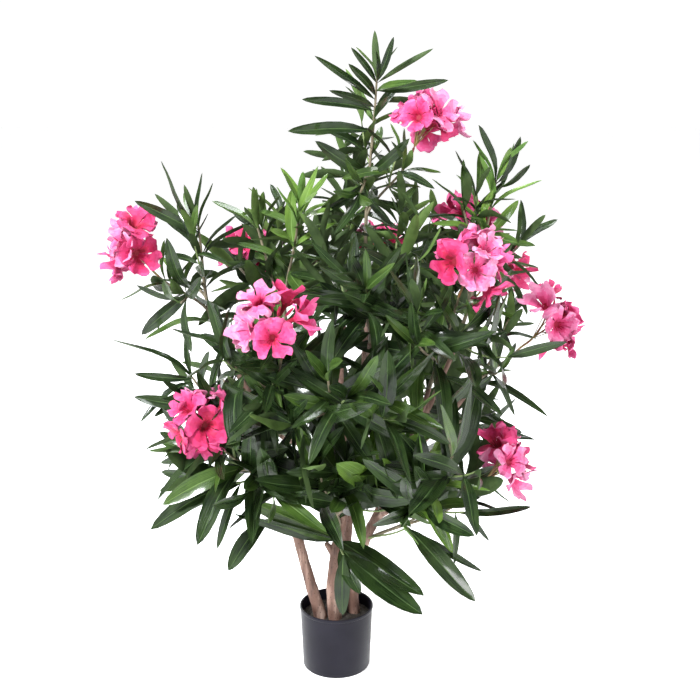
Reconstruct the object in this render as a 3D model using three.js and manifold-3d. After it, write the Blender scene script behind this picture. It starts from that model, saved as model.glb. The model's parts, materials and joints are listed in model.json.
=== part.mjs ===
// Potted artificial oleander, 1.2 m tall: four natural-wood stems cast into a black plastic pot, eighteen
// boughs that fork from them, and leafy shoots whose tips carry either a spray of upright leaves or a head
// of five-petalled blooms. Millimetres, +Z up. The origin is the centre of the pot's flat underside, and -Y
// is the plant's front.
import * as THREE from "three";
import { mergeVertices } from "three/addons/utils/BufferGeometryUtils.js";
import Module from "manifold-3d";

const wasm = await Module();
wasm.setup();

// ---- Driving dimensions ---------------------------------------------------------------------------------

const CLEAR = 0.3; // gap between neighbouring solids
const POT = { height: 125, rimRadius: 70, footRadius: 65, wall: 2.4, floor: 4, lip: 1, lipHeight: 5, sides: 28 };
const FILL_TOP = 103; // top of the cement that the stems stand in
const FILL_DISH = 5; // how far its middle rises above its edge
const STEM_Z = FILL_TOP + FILL_DISH + CLEAR;

const STEM_SIDES = 8;
const STEM_RINGS = 9;
const STEM_FLARE = 0.16; // extra radius at the foot of a stem, as a share
const BOUGH_SIDES = 5;
const BOUGH_RINGS = 3;
const BOUGH_RADII = [6, 4.2];
const TWIG_SIDES = 3;
const TWIG_RINGS = 3;
const TWIG_RADII = [3.9, 2.6];

const LEAF = {
  lengthLow: 158, // the lowest whorl of a shoot
  lengthTop: 112, // the whorl at its tip
  width: 0.28, // of its length
  thickness: 0.016, // of its length
  widest: 0.46, // where along the leaf it is widest
  arch: 0.05, // how far its middle stands above the line from root to tip, of its length
  sunk: 1, // how far its root goes past the twig's middle
  stagger: 3, // between one leaf's foot and the next in a whorl, along the twig
  crossing: 0.05, // mm3 by which two leaves may share a root, which is far less than two blades that cross
};
const WHORL = 3; // leaves at each node of a shoot
const WHORL_GAP = 57; // between one whorl and the next
const PITCH_LOW = 76; // degrees between a leaf and its twig at the shoot's foot
const PITCH_TOP = 34; // and at its tip
const SPACE_MARGIN = 3; // how much nearer a leaf stays to its own twigs than to another mass's
const LIMB_MARGIN = 2.5; // between a leaf and a stem or bough
const LOWEST_LEAF = 150; // no leaf hangs lower than this

const BLOOM = { radius: 33, notch: 0.42, petals: 5, cup: 6, tube: 15, shoulder: 21 };
const HEAD = { reach: 38, seat: 50, tiltDeg: 70, space: 68, ring: 4, stagger: 4.5, pedicel: 1.7, stalk: 2.6 };

// ---- Skeleton -------------------------------------------------------------------------------------------

// Each stem is one cubic curve: foot, two handles, tip.
const STEMS = {
  left: { route: [[-30, -18, STEM_Z], [-72, -20, 250], [-95, -28, 400], [-140, -28, 530]], radii: [11.2, 6.6] },
  middle: { route: [[-2, -22, STEM_Z], [-30, -20, 260], [70, -12, 400], [55, 0, 805]], radii: [11.4, 4.2] },
  right: { route: [[34, 4, STEM_Z], [22, 4, 210], [75, 0, 300], [140, -8, 455]], radii: [10.4, 6.4] },
  back: { route: [[4, 26, STEM_Z], [25, 40, 250], [40, 80, 380], [5, 130, 520]], radii: [10, 6.2] },
};
// A sawn-off side stub on the middle stem: where along the stem, and its end.
const STUB = { at: 0.27, tip: [-19, -21, 262], radii: [7.5, 5.2] };

// Each bough: the stem it forks from, where along that stem, and its tip.
const BOUGHS = {
  left_high: { stem: "left", at: 0.96, tip: [-215, -5, 660] },
  front_left: { stem: "left", at: 0.87, tip: [-112, -120, 560] },
  left_mid: { stem: "left", at: 0.76, tip: [-178, -40, 495] },
  left_low: { stem: "left", at: 0.55, tip: [-138, -78, 415] },
  mid_left: { stem: "middle", at: 0.66, tip: [-70, 15, 640] },
  centre: { stem: "middle", at: 0.78, tip: [62, -92, 672] },
  centre_front: { stem: "middle", at: 0.56, tip: [5, -132, 525] },
  right_high: { stem: "right", at: 0.96, tip: [226, 24, 648] },
  right_far: { stem: "right", at: 0.88, tip: [245, -10, 560] },
  right_front: { stem: "right", at: 0.79, tip: [166, -98, 590] },
  right_arm: { stem: "right", at: 0.7, tip: [210, 50, 452] },
  right_low: { stem: "right", at: 0.6, tip: [158, -112, 402] },
  back_mid: { stem: "back", at: 0.96, tip: [15, 195, 655] },
  back_left: { stem: "back", at: 0.86, tip: [-92, 165, 590] },
  back_right: { stem: "back", at: 0.77, tip: [122, 172, 585] },
  back_left_low: { stem: "back", at: 0.66, tip: [-112, 130, 425] },
  back_right_low: { stem: "back", at: 0.57, tip: [128, 155, 425] },
  back_low: { stem: "back", at: 0.46, tip: [22, 165, 365] },
};

// Each mass of foliage: what it grows on, and its twigs. The first twig is the shoot's own stem and the
// others fork from it. A twig ends in upright leaves, or in the head of blooms centred at `head`. `hang`
// bends its leaves down, and `size` scales them.
const MASSES = {
  crown_top: {
    on: "stem_middle",
    twigs: [
      { to: [73, 0, 1112], size: 1.05 },
      { to: [128, -14, 978], head: [160, -20, 1046], size: 0.85 },
      { to: [24, 48, 965] },
      { to: [44, -70, 940], size: 0.9 },
    ],
  },
  mid_left: {
    on: "bough_mid_left",
    twigs: [{ to: [-140, 20, 838] }, { to: [-64, -55, 862] }, { to: [-182, 95, 770] }, { to: [-35, 60, 790] }],
  },
  left_upper: {
    on: "bough_left_high",
    twigs: [
      { to: [-246, 10, 868] },
      { to: [-318, -5, 772], head: [-352, -2, 828] },
      { to: [-300, 92, 745] },
      { to: [-278, -72, 742] },
    ],
  },
  left_mid: {
    on: "bough_left_mid",
    twigs: [{ to: [-258, -48, 596] }, { to: [-278, 40, 548] }, { to: [-240, -110, 566] }],
  },
  left_low: {
    on: "bough_left_low",
    twigs: [
      { to: [-196, -146, 496], head: [-219, -180, 553] },
      { to: [-222, -72, 424], size: 1.1 },
      { to: [-140, -158, 450] },
    ],
  },
  front_left: {
    on: "bough_front_left",
    twigs: [{ to: [-86, -220, 674], head: [-92, -268, 740] }, { to: [-166, -170, 672] }, { to: [-70, -175, 640] }],
  },
  centre: {
    on: "bough_centre",
    twigs: [{ to: [32, -180, 798] }, { to: [126, -76, 842] }, { to: [100, -165, 740] }, { to: [-10, -110, 775] }],
  },
  centre_front: {
    on: "bough_centre_front",
    twigs: [{ to: [-8, -285, 656] }, { to: [78, -240, 610] }, { to: [-70, -230, 565] }],
  },
  centre_low: {
    on: "stem_middle",
    at: 0.38,
    twigs: [
      { to: [-26, -196, 470] },
      { to: [66, -150, 380], hang: 0.1, size: 1.1 },
      { to: [-88, -150, 425] },
      { to: [88, -165, 455] },
    ],
  },
  right_upper: {
    on: "bough_right_high",
    twigs: [
      { to: [283, 18, 905] },
      { to: [224, 92, 806], head: [232, 112, 868] },
      { to: [335, 34, 800] },
      { to: [200, -18, 805] },
    ],
  },
  right_front: {
    on: "bough_right_front",
    twigs: [{ to: [208, -160, 766], head: [222, -190, 828] }, { to: [138, -228, 700] }, { to: [252, -160, 690] }],
  },
  right_far: {
    on: "bough_right_far",
    twigs: [{ to: [336, -30, 642], head: [374, -40, 698] }, { to: [335, 62, 672] }, { to: [300, -100, 622] }],
  },
  right_arm: {
    on: "bough_right_arm",
    twigs: [{ to: [296, 58, 532], hang: 0.1 }, { to: [282, 122, 476], hang: 0.1 }, { to: [285, -15, 520] }],
  },
  right_low: {
    on: "bough_right_low",
    twigs: [
      { to: [196, -240, 514] },
      { to: [264, -86, 400], head: [304, -94, 448] },
      { to: [170, -205, 420] },
    ],
  },
  right_bottom: {
    on: "stem_right",
    at: 0.49,
    twigs: [{ to: [236, -58, 350], hang: 0.15, size: 1.1 }, { to: [165, -110, 355], hang: 0.05, size: 1.1 }],
  },
  back_mid: {
    on: "bough_back_mid",
    twigs: [{ to: [22, 238, 905] }, { to: [76, 288, 740], head: [88, 322, 802] }, { to: [-30, 320, 730] }],
  },
  back_left: {
    on: "bough_back_left",
    twigs: [{ to: [-112, 262, 842] }, { to: [-160, 232, 700], head: [-176, 256, 762] }, { to: [-250, 165, 690] }],
  },
  back_right: {
    on: "bough_back_right",
    twigs: [{ to: [196, 252, 812] }, { to: [276, 196, 694], head: [316, 212, 750] }, { to: [180, 150, 760] }],
  },
  back_left_low: {
    on: "bough_back_left_low",
    twigs: [{ to: [-240, 205, 520] }, { to: [-125, 275, 492] }, { to: [-215, 105, 440] }],
  },
  back_right_low: {
    on: "bough_back_right_low",
    twigs: [{ to: [255, 230, 525] }, { to: [160, 300, 500] }, { to: [235, 130, 420] }],
  },
  back_low: {
    on: "bough_back_low",
    twigs: [{ to: [15, 305, 460] }, { to: [-40, 215, 420], hang: 0.1 }],
  },
};

// ---- Materials ------------------------------------------------------------------------------------------

const finish = (color, roughness) => new THREE.MeshStandardMaterial({ color, roughness, metalness: 0 });
const POT_PLASTIC = finish(0x2f2e36, 0.42);
const CEMENT = finish(0x2a2420, 0.95);
const BARK = finish(0x9c7d69, 0.85);
const TWIG_BARK = finish(0x6f7a4c, 0.7);
const FOLIAGE = finish(0x28502a, 0.45);
const PETAL = finish(0xf0559a, 0.6);

// ---- Solids ---------------------------------------------------------------------------------------------

// A closed three.js geometry as a manifold-3d solid, which can be joined and cut.
function solidOf(geometry) {
  const bare = new THREE.BufferGeometry();
  bare.setAttribute("position", geometry.getAttribute("position"));
  bare.setIndex(geometry.index);
  const merged = mergeVertices(bare, 1e-4);
  const vertProperties = merged.attributes.position.array;
  return new wasm.Manifold(
    new wasm.Mesh({ numProp: 3, vertProperties, triVerts: new Uint32Array(merged.index.array) }),
  );
}

// A solid's largest closed body as a three.js geometry: sealed hollows are filled and loose scraps dropped.
function geometryOf(solid) {
  const body = solid.decompose().reduce((a, b) => (a.volume() > b.volume() ? a : b));
  const mesh = body.getMesh();
  const geometry = new THREE.BufferGeometry();
  geometry.setAttribute("position", new THREE.BufferAttribute(new Float32Array(mesh.vertProperties), 3));
  geometry.setIndex(new THREE.BufferAttribute(new Uint32Array(mesh.triVerts), 1));
  geometry.computeVertexNormals();
  return geometry;
}

const fuse = (solids) => solids.reduce((a, b) => a.add(b));
const point = (xyz) => new THREE.Vector3(...xyz);
const Z = new THREE.Vector3(0, 0, 1);

// A seeded random number between 0 and 1, the same on every run.
function randomFrom(seed) {
  let state = seed;
  return () => {
    state = (Math.imul(state, 1664525) + 1013904223) >>> 0;
    return state / 2 ** 32;
  };
}

// ---- Limbs ----------------------------------------------------------------------------------------------

// A closed tapering limb: a cylinder whose rings are carried on to the curve. `swell` adds to its radius
// all along, lengthening its ends as much, and `flare` widens its foot.
function limbSolid(curve, radii, sides, rings, { swell = 0, flare = 0 } = {}) {
  const limb = new THREE.CylinderGeometry(radii[1] + swell, radii[0] + swell, 1, sides, rings);
  const frames = curve.computeFrenetFrames(rings, false);
  const place = limb.attributes.position;
  for (let i = 0; i < place.count; i++) {
    const along = place.getY(i) + 0.5;
    const ring = Math.round(along * rings);
    const widen = 1 + flare * Math.exp(-along * 14);
    const past = ring === 0 ? -swell : ring === rings ? swell : 0;
    const at = curve
      .getPointAt(ring / rings)
      .addScaledVector(frames.tangents[ring], past)
      .addScaledVector(frames.normals[ring], place.getX(i) * widen)
      .addScaledVector(frames.binormals[ring], -place.getZ(i) * widen);
    place.setXYZ(i, at.x, at.y, at.z);
  }
  return solidOf(limb);
}

// The curve of a limb that leaves `start` along `heading` and rises to `tip`.
function risingCurve(start, heading, tip) {
  const span = start.distanceTo(tip);
  const first = start.clone().addScaledVector(heading, span * 0.34);
  const last = tip.clone().lerp(start, 0.3);
  last.z -= span * 0.07;
  return new THREE.CubicBezierCurve3(start, first, last, tip);
}

const polyline = (curve, steps = 6) => curve.getSpacedPoints(steps);

// The point and the direction on the axis of a twig's solid, which runs straight from ring to ring.
function onTwig(curve, along) {
  const ring = Math.min(Math.floor(along * TWIG_RINGS), TWIG_RINGS - 1);
  const [from, to] = [ring, ring + 1].map((n) => curve.getPointAt(n / TWIG_RINGS));
  const at = from.clone().lerp(to, along * TWIG_RINGS - ring);
  return { at, axis: to.sub(from).normalize() };
}

// Every stem and bough that leaves have to clear: its polyline and its widest radius.
const limbs = [];
const tips = {}; // where a mass can grow on: a limb's curve and its solid, by node name
const root = new THREE.Group();
root.name = "potted_oleander";

function addMesh(name, solid, material) {
  const mesh = new THREE.Mesh(geometryOf(solid), material);
  mesh.name = name;
  root.add(mesh);
}

// ---- Pot ------------------------------------------------------------------------------------------------

function buildPot() {
  const { height, rimRadius, footRadius, wall, floor, lip, lipHeight, sides } = POT;
  const outer = (z) => footRadius + ((rimRadius - footRadius) * z) / height;
  const corner = 3; // the rounded edge of the underside
  const profile = [
    [0, 0],
    [footRadius - corner, 0],
    [footRadius, corner],
    [outer(height - lipHeight), height - lipHeight],
    [rimRadius + lip, height - lipHeight + lip],
    [rimRadius + lip, height],
    [rimRadius - wall, height],
    [footRadius - wall, floor],
    [0, floor],
  ].map(([r, z]) => new THREE.Vector2(r, z));
  const pot = new THREE.LatheGeometry(profile, sides).rotateX(Math.PI / 2);
  addMesh("pot", solidOf(pot), POT_PLASTIC);

  const inner = (z) => footRadius - wall + ((rimRadius - footRadius) * (z - floor)) / (height - floor) - CLEAR * 1.1;
  const fillProfile = [
    [0, floor + CLEAR],
    [inner(floor + CLEAR), floor + CLEAR],
    [inner(FILL_TOP), FILL_TOP],
    [footRadius * 0.72, FILL_TOP + FILL_DISH],
    [0, FILL_TOP + FILL_DISH],
  ].map(([r, z]) => new THREE.Vector2(r, z));
  const fill = new THREE.LatheGeometry(fillProfile, sides).rotateX(Math.PI / 2);
  addMesh("pot_fill", solidOf(fill), CEMENT);
}

// ---- Stems and boughs -----------------------------------------------------------------------------------

function buildStems() {
  for (const [name, { route, radii }] of Object.entries(STEMS)) {
    const curve = new THREE.CubicBezierCurve3(...route.map(point));
    let solid = limbSolid(curve, radii, STEM_SIDES, STEM_RINGS, { flare: STEM_FLARE });
    if (name === "middle") {
      const side = new THREE.LineCurve3(curve.getPoint(STUB.at), point(STUB.tip));
      solid = solid.add(limbSolid(side, STUB.radii, STEM_SIDES, 1));
    }
    const level = new THREE.BoxGeometry(400, 400, 40).translate(0, 0, STEM_Z - 20); // saws the foot off flat
    solid = solid.subtract(solidOf(level));
    addMesh("stem_" + name, solid, BARK);
    const swollen = limbSolid(curve, radii, STEM_SIDES, STEM_RINGS, { swell: CLEAR, flare: STEM_FLARE });
    tips["stem_" + name] = { curve, swollen };
    limbs.push({ line: polyline(curve, 12), radius: radii[0] });
  }
}

function buildBoughs() {
  for (const [name, { stem, at, tip }] of Object.entries(BOUGHS)) {
    const parent = tips["stem_" + stem];
    const start = parent.curve.getPoint(at);
    const end = point(tip);
    const heading = parent.curve.getTangent(at).lerp(end.clone().sub(start).normalize(), 0.6).normalize();
    const curve = risingCurve(start, heading, end);
    const solid = limbSolid(curve, BOUGH_RADII, BOUGH_SIDES, BOUGH_RINGS).subtract(parent.swollen);
    addMesh("bough_" + name, solid, BARK);
    tips["bough_" + name] = { curve };
    limbs.push({ line: polyline(curve), radius: BOUGH_RADII[0] });
  }
}

// ---- Twigs of a mass ------------------------------------------------------------------------------------

// The curves of a mass's twigs, the first from its limb's tip, or from the limb's side where `at` is given.
function twigCurves({ on, at, twigs }) {
  const limb = tips[on].curve;
  const end = at ?? 1;
  const heading = limb.getTangent(end);
  const start = limb.getPoint(end);
  if (at === undefined) start.addScaledVector(heading, CLEAR);
  else heading.lerp(point(twigs[0].to).sub(start).normalize(), 0.85).normalize();
  const main = risingCurve(start, heading, point(twigs[0].to));
  return twigs.map(({ to }, i) => {
    if (i === 0) return main;
    const fork = 0.12 + 0.12 * i;
    const tip = point(to);
    const from = main.getPointAt(fork);
    const away = main.getTangentAt(fork).lerp(tip.clone().sub(from).normalize(), 0.6).normalize();
    return risingCurve(from, away, tip);
  });
}

// ---- Leaves ---------------------------------------------------------------------------------------------

// The corners of one leaf: a thin blade whose flat underside folds across its widest place and bends down
// towards its tip, with a ridge above the fold.
function leafCorners(foot, outward, upward, length, droop) {
  const side = new THREE.Vector3().crossVectors(outward, upward).normalize();
  const face = new THREE.Vector3().crossVectors(side, outward).normalize();
  const half = (LEAF.width * length) / 2;
  const middle = foot
    .clone()
    .addScaledVector(outward, LEAF.widest * length)
    .addScaledVector(face, LEAF.arch * length);
  middle.z -= 0.25 * droop * length;
  const tip = foot.clone().addScaledVector(outward, length);
  tip.z -= droop * length;
  const thick = LEAF.thickness * length;
  return {
    foot,
    middle,
    tip,
    left: middle.clone().addScaledVector(side, half),
    right: middle.clone().addScaledVector(side, -half),
    top: middle.clone().addScaledVector(face, thick),
    heel: foot.clone().addScaledVector(outward, -LEAF.sunk),
  };
}

function leafSolid({ heel, left, right, top, tip }) {
  const corners = [heel, left, right, top, tip];
  const geometry = new THREE.BufferGeometry().setFromPoints(corners);
  const [H, L, R, T, P] = corners.keys();
  const faces = [
    [H, T, R], [R, T, P], [P, T, L], [L, T, H], // upper side
    [H, R, L], [R, P, L], // under side
  ];
  geometry.setIndex(faces.flat());
  return solidOf(geometry);
}

// The straight edges and the midrib of a leaf, as pairs of points.
function leafLines({ foot, left, right, middle, tip }) {
  return [[foot, middle], [middle, tip], [foot, left], [left, tip], [foot, right], [right, tip]];
}

// ---- Space ----------------------------------------------------------------------------------------------

function segmentGap(a, b, c, d) {
  const u = b.clone().sub(a);
  const w = d.clone().sub(c);
  const r = a.clone().sub(c);
  const uu = u.dot(u);
  const ww = w.dot(w);
  const uw = u.dot(w);
  const wr = w.dot(r);
  const det = uu * ww - uw * uw;
  let s = det > 1e-9 ? THREE.MathUtils.clamp((uw * wr - u.dot(r) * ww) / det, 0, 1) : 0;
  let t = (uw * s + wr) / ww;
  if (t < 0 || t > 1) {
    t = THREE.MathUtils.clamp(t, 0, 1);
    s = THREE.MathUtils.clamp((uw * t - u.dot(r)) / uu, 0, 1);
  }
  return r.addScaledVector(u, s).addScaledVector(w, -t).length();
}

const lineGap = (a, b, line) => Math.min(...line.slice(1).map((q, i) => segmentGap(a, b, line[i], q)));
const pointGap = (p, lines) => Math.min(...lines.map((line) => lineGap(p, p.clone().addScalar(1e-3), line)));

// True if a leaf keeps to the space that is nearer to its own mass's twigs than to any other's, and clear
// of the limbs, of the heads of blooms and of the pot.
function fits(leaf, own, spaces, heads) {
  const lines = leafLines(leaf);
  const probes = lines.flatMap(([a, b]) => [0.35, 0.7, 1].map((t) => a.clone().lerp(b, t)));
  const rim = POT.rimRadius + 6;
  for (const p of probes) {
    if (p.z < POT.height + 6 && Math.hypot(p.x, p.y) < rim) return false;
    if (p.z < LOWEST_LEAF) return false;
    if (heads.some((centre) => centre.distanceTo(p) < HEAD.space)) return false;
    const mine = pointGap(p, spaces[own]) + SPACE_MARGIN;
    for (const [name, axes] of Object.entries(spaces)) {
      if (name !== own && pointGap(p, axes) < mine) return false;
    }
  }
  return lines.every(([a, b]) => limbs.every(({ line, radius }) => lineGap(a, b, line) > radius + LIMB_MARGIN));
}

// The leaves of one twig: whorls of three, each turned half a step from the last, from low wide ones to
// upright ones at the tip. A leaf that doesn't fit is tried turned a little, then shorter, and is left out
// if it still doesn't.
function growLeaves(curve, { hang = 0, size = 1, head }, isSide, own, spaces, heads, grown, random) {
  const length = curve.getLength();
  const first = isSide ? 0.46 : 0.3;
  const last = head ? 0.9 : 0.99;
  const count = Math.max(2, Math.round(((last - first) * length) / WHORL_GAP));
  const turn0 = random() * 360;
  for (let k = 0; k <= count; k++) {
    const share = k / count; // 0 at the lowest whorl, 1 at the tip
    const along = first + (last - first) * share;
    const { axis } = onTwig(curve, along);
    const level = Z.clone().cross(axis).normalize();
    const pitchTop = head ? 58 : PITCH_TOP;
    for (let i = 0; i < WHORL; i++) {
      const turn = turn0 + (360 / WHORL) * (i + k / 2) + (random() - 0.5) * 24;
      const pitch = PITCH_LOW + (pitchTop - PITCH_LOW) * share ** 0.8 + (random() - 0.5) * 14;
      const reach = size * (LEAF.lengthLow + (LEAF.lengthTop - LEAF.lengthLow) * share) * (0.9 + 0.2 * random());
      const foot = onTwig(curve, along - (i * LEAF.stagger) / length).at;
      const droop = 0.06 + 0.12 * (1 - share) + hang;
      for (const [swing, shorten] of [[0, 1], [18, 1], [-18, 1], [0, 0.8], [25, 0.75], [-25, 0.75], [0, 0.62]]) {
        const outward = axis
          .clone()
          .applyAxisAngle(level, THREE.MathUtils.degToRad(pitch))
          .applyAxisAngle(axis, THREE.MathUtils.degToRad(turn + swing));
        const leaf = leafCorners(foot, outward, axis, reach * shorten, droop);
        if (!fits(leaf, own, spaces, heads)) continue;
        const solid = leafSolid(leaf);
        if (grown.some((other) => other.intersect(solid).volume() > LEAF.crossing)) continue;
        grown.push(solid);
        break;
      }
    }
  }
}

// ---- Blooms ---------------------------------------------------------------------------------------------

const polar = (degrees, r, z) => {
  const angle = THREE.MathUtils.degToRad(degrees);
  return new THREE.Vector3(r * Math.cos(angle), r * Math.sin(angle), z);
};

// A five-petalled bloom on its pedicel, facing +Z with its throat at the origin. Each petal runs from the
// throat to two shoulders, and between petals the rim comes in to a notch. Below the notches the tube
// narrows to the three-sided pedicel, which runs to `end`.
function bloomGeometry(end) {
  const { radius, notch, petals, cup, tube, shoulder } = BLOOM;
  const step = 360 / petals;
  const corners = [polar(0, 0, -2)];
  for (let i = 0; i < petals; i++) {
    const middle = (i + 0.5) * step;
    corners.push(polar(i * step, radius * notch, -3));
    corners.push(polar(middle - shoulder, radius, cup), polar(middle + shoulder, radius, cup));
  }
  const ring = [0, 120, 240].map((turn) => polar(turn, HEAD.pedicel, 0));
  corners.push(...ring.map((q) => q.clone().setZ(-tube)), ...ring.map((q) => q.clone().add(end)));
  const n = (i) => 1 + 3 * (i % petals); // notches
  const q = (j) => 1 + 3 * petals + (j % 3); // foot of the tube
  const e = (j) => q(j) + 3; // end of the pedicel
  const faces = [];
  for (let i = 0; i < petals; i++) {
    const [a, b, c, d] = [n(i), n(i) + 1, n(i) + 2, n(i + 1)];
    faces.push([0, a, b], [0, b, c], [0, c, d]); // upper side
    faces.push([a, c, b], [a, d, c]); // under side
    faces.push([q([0, 1, 1, 2, 2][i]), d, a]); // tube
  }
  [1, 3, 5].forEach((i, j) => faces.push([n(i), q(j), q(j + 1)])); // tube
  for (let j = 0; j < 3; j++) faces.push([q(j + 1), q(j), e(j)], [q(j + 1), e(j), e(j + 1)]);
  faces.push([e(0), e(2), e(1)]);
  const geometry = new THREE.BufferGeometry().setFromPoints(corners);
  geometry.setIndex(faces.flat());
  return geometry;
}

// A head of blooms: a stalk that runs on from the twig's tip to a bloom in the middle, and pedicels that
// fork from it to a ring of blooms.
function headSolid(twig, centre) {
  const heading = twig.getTangentAt(1);
  const start = twig.getPointAt(1).addScaledVector(heading, CLEAR);
  const facing = centre.clone().sub(start).normalize();
  const turned = new THREE.Quaternion().setFromUnitVectors(Z, facing);
  const fork = centre.clone().addScaledVector(facing, -HEAD.reach);
  const pieces = [limbSolid(risingCurve(start, heading, fork), [HEAD.stalk, HEAD.stalk], TWIG_SIDES, 1)];
  for (let i = 0; i <= HEAD.ring; i++) {
    const tilt = i ? THREE.MathUtils.degToRad(HEAD.tiltDeg) : 0;
    const turn = (i / HEAD.ring) * 2 * Math.PI;
    const spread = new THREE.Quaternion().setFromEuler(new THREE.Euler(0, tilt, turn, "ZYX"));
    const way = turned.clone().multiply(spread);
    const seat = centre.clone().addScaledVector(Z.clone().applyQuaternion(way), HEAD.seat);
    const foot = fork.clone().addScaledVector(facing, HEAD.stagger * (i - 0.5));
    const pose = new THREE.Matrix4().compose(seat, way, new THREE.Vector3(1, 1, 1));
    const end = foot.applyMatrix4(pose.clone().invert());
    pieces.push(solidOf(bloomGeometry(end).applyMatrix4(pose)));
  }
  return fuse(pieces);
}

// ---- Assembly -------------------------------------------------------------------------------------------

function buildFoliage() {
  let leafCount = 0;
  const curves = {};
  const spaces = {};
  const heads = [];
  for (const [name, mass] of Object.entries(MASSES)) {
    curves[name] = twigCurves(mass);
    spaces[name] = curves[name].map((curve) => polyline(curve, 5));
    for (const { head } of mass.twigs) if (head) heads.push(point(head));
  }
  Object.entries(MASSES).forEach(([name, mass], index) => {
    const random = randomFrom(977 * (index + 1));
    const twigs = [];
    const leaves = [];
    mass.twigs.forEach((twig, i) => {
      const curve = curves[name][i];
      const radii = i === 0 ? TWIG_RADII : [TWIG_RADII[0] * 0.8, TWIG_RADII[1]];
      twigs.push(limbSolid(curve, radii, TWIG_SIDES, TWIG_RINGS));
      growLeaves(curve, twig, i > 0, name, spaces, heads, leaves, random);
    });
    let solid = fuse([...twigs, ...leaves]);
    if (mass.at !== undefined) solid = solid.subtract(tips[mass.on].swollen);
    addMesh("foliage_" + name, solid, FOLIAGE);
    mass.twigs.forEach(({ head }, i) => {
      if (head) addMesh("blossom_" + name, headSolid(curves[name][i], point(head)), PETAL);
    });
    leafCount += leaves.length;
  });
  console.log(leafCount, "leaves");
}

buildPot();
buildStems();
buildBoughs();
buildFoliage();

export default root;
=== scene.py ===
# %% [markdown]
# # An artificial oleander in a pot
#
# The real thing is about 1.2 m tall: wooden stems cast into a black plastic pot, wired shoots with long
# fabric leaves in whorls of three, and heads of pink fabric blooms at the ends of some shoots. The CAD solids
# give the plant's size and stance. This lesson dresses them: it grows the same twigs again, finer, and hangs
# real leaves and petals on them. Everything is in metres, +Z is up, and the plant's front faces -Y.

# %% Load the CAD frame
import json
import math

import bmesh
import bpy
import numpy as np
from mathutils import Matrix, Vector, noise

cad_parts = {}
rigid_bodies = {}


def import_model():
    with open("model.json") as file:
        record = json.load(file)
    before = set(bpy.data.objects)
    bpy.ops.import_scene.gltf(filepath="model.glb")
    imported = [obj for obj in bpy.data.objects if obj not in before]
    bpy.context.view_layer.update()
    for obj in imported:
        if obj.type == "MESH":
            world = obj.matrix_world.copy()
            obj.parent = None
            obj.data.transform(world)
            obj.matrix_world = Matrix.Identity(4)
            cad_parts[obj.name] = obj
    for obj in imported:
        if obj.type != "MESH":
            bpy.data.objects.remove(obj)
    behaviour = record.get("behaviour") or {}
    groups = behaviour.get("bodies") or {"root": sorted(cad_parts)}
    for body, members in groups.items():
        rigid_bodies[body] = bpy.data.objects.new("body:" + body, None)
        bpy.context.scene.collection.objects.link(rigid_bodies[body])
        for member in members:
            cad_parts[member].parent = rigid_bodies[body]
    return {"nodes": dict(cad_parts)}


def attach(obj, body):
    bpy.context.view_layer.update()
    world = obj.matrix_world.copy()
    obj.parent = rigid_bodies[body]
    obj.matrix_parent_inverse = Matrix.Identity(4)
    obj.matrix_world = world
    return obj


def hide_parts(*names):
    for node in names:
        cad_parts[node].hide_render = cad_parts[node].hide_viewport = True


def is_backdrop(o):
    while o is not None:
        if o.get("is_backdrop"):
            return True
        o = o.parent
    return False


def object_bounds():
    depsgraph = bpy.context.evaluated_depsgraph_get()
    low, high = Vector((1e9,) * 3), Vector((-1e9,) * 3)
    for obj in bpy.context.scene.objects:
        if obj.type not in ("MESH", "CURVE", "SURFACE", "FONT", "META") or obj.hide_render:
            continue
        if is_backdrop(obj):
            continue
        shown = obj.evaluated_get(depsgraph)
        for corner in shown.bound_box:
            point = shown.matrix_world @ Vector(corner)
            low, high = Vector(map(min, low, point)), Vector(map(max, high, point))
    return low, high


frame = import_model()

CAD_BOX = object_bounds()
NODES = list(frame["nodes"])


def rounded(box):
    return [[round(v, 3) for v in corner] for corner in box]


print(len(NODES), "CAD nodes, box", rounded(CAD_BOX))

# %% [markdown]
# ## Camera, floor and light
#
# The plant is seen from 2 m in front and a little above its middle, with a short telephoto lens so that the
# crown keeps its proportions. A lens can be worked out from its angle of view, which is easier to repeat than
# moving a camera by hand. The floor is pale and matt. The light is soft and comes from all round near the
# horizon. Overhead it is dim, so that glossy dark leaves keep their depth, and a small bright window at the
# upper left gives them their highlights.

# %% Camera
SCENE = bpy.context.scene
CAMERA_PLACE = (0.0265, -2.0, 1.14)
PITCH = 14.19  # degrees that the camera looks down
SENSOR = 36  # mm
FOCAL = 1124 / 700 * SENSOR  # mm: 1124 points on a frame that is 700 points wide

camera_data = bpy.data.cameras.new("camera")
camera_data.lens, camera_data.sensor_width = FOCAL, SENSOR
camera = bpy.data.objects.new("camera", camera_data)
camera.location = CAMERA_PLACE
camera.rotation_euler = (math.radians(90 - PITCH), 0, 0)
SCENE.collection.objects.link(camera)
SCENE.camera = camera
print("lens", round(FOCAL, 2), "mm")

# %% [markdown]
# ## Shader maths in Python
#
# A material is a graph of nodes, and a graph built call by call is hard to read. Here a small class wraps a
# socket and lets Python's own operators add the Math nodes, so `1 - mask * 0.4` is written as it reads. Every
# other node comes from one method, `node`, which takes the node's type, its settings and what its sockets
# get.

# %% A socket that can be reckoned with
class Flow:
    """A number on a surface: the operators add Math nodes."""

    def __init__(self, finish, socket):
        self.finish, self.socket = finish, socket

    def maths(self, operation, a, b):
        return self.finish.node("ShaderNodeMath", {"operation": operation}, {0: a, 1: b})

    def __add__(self, other):
        return self.maths("ADD", self, other)

    def __mul__(self, other):
        return self.maths("MULTIPLY", self, other)

    def __sub__(self, other):
        return self.maths("SUBTRACT", self, other)

    def __rsub__(self, other):
        return self.maths("SUBTRACT", other, self)

    __radd__, __rmul__ = __add__, __mul__


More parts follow.
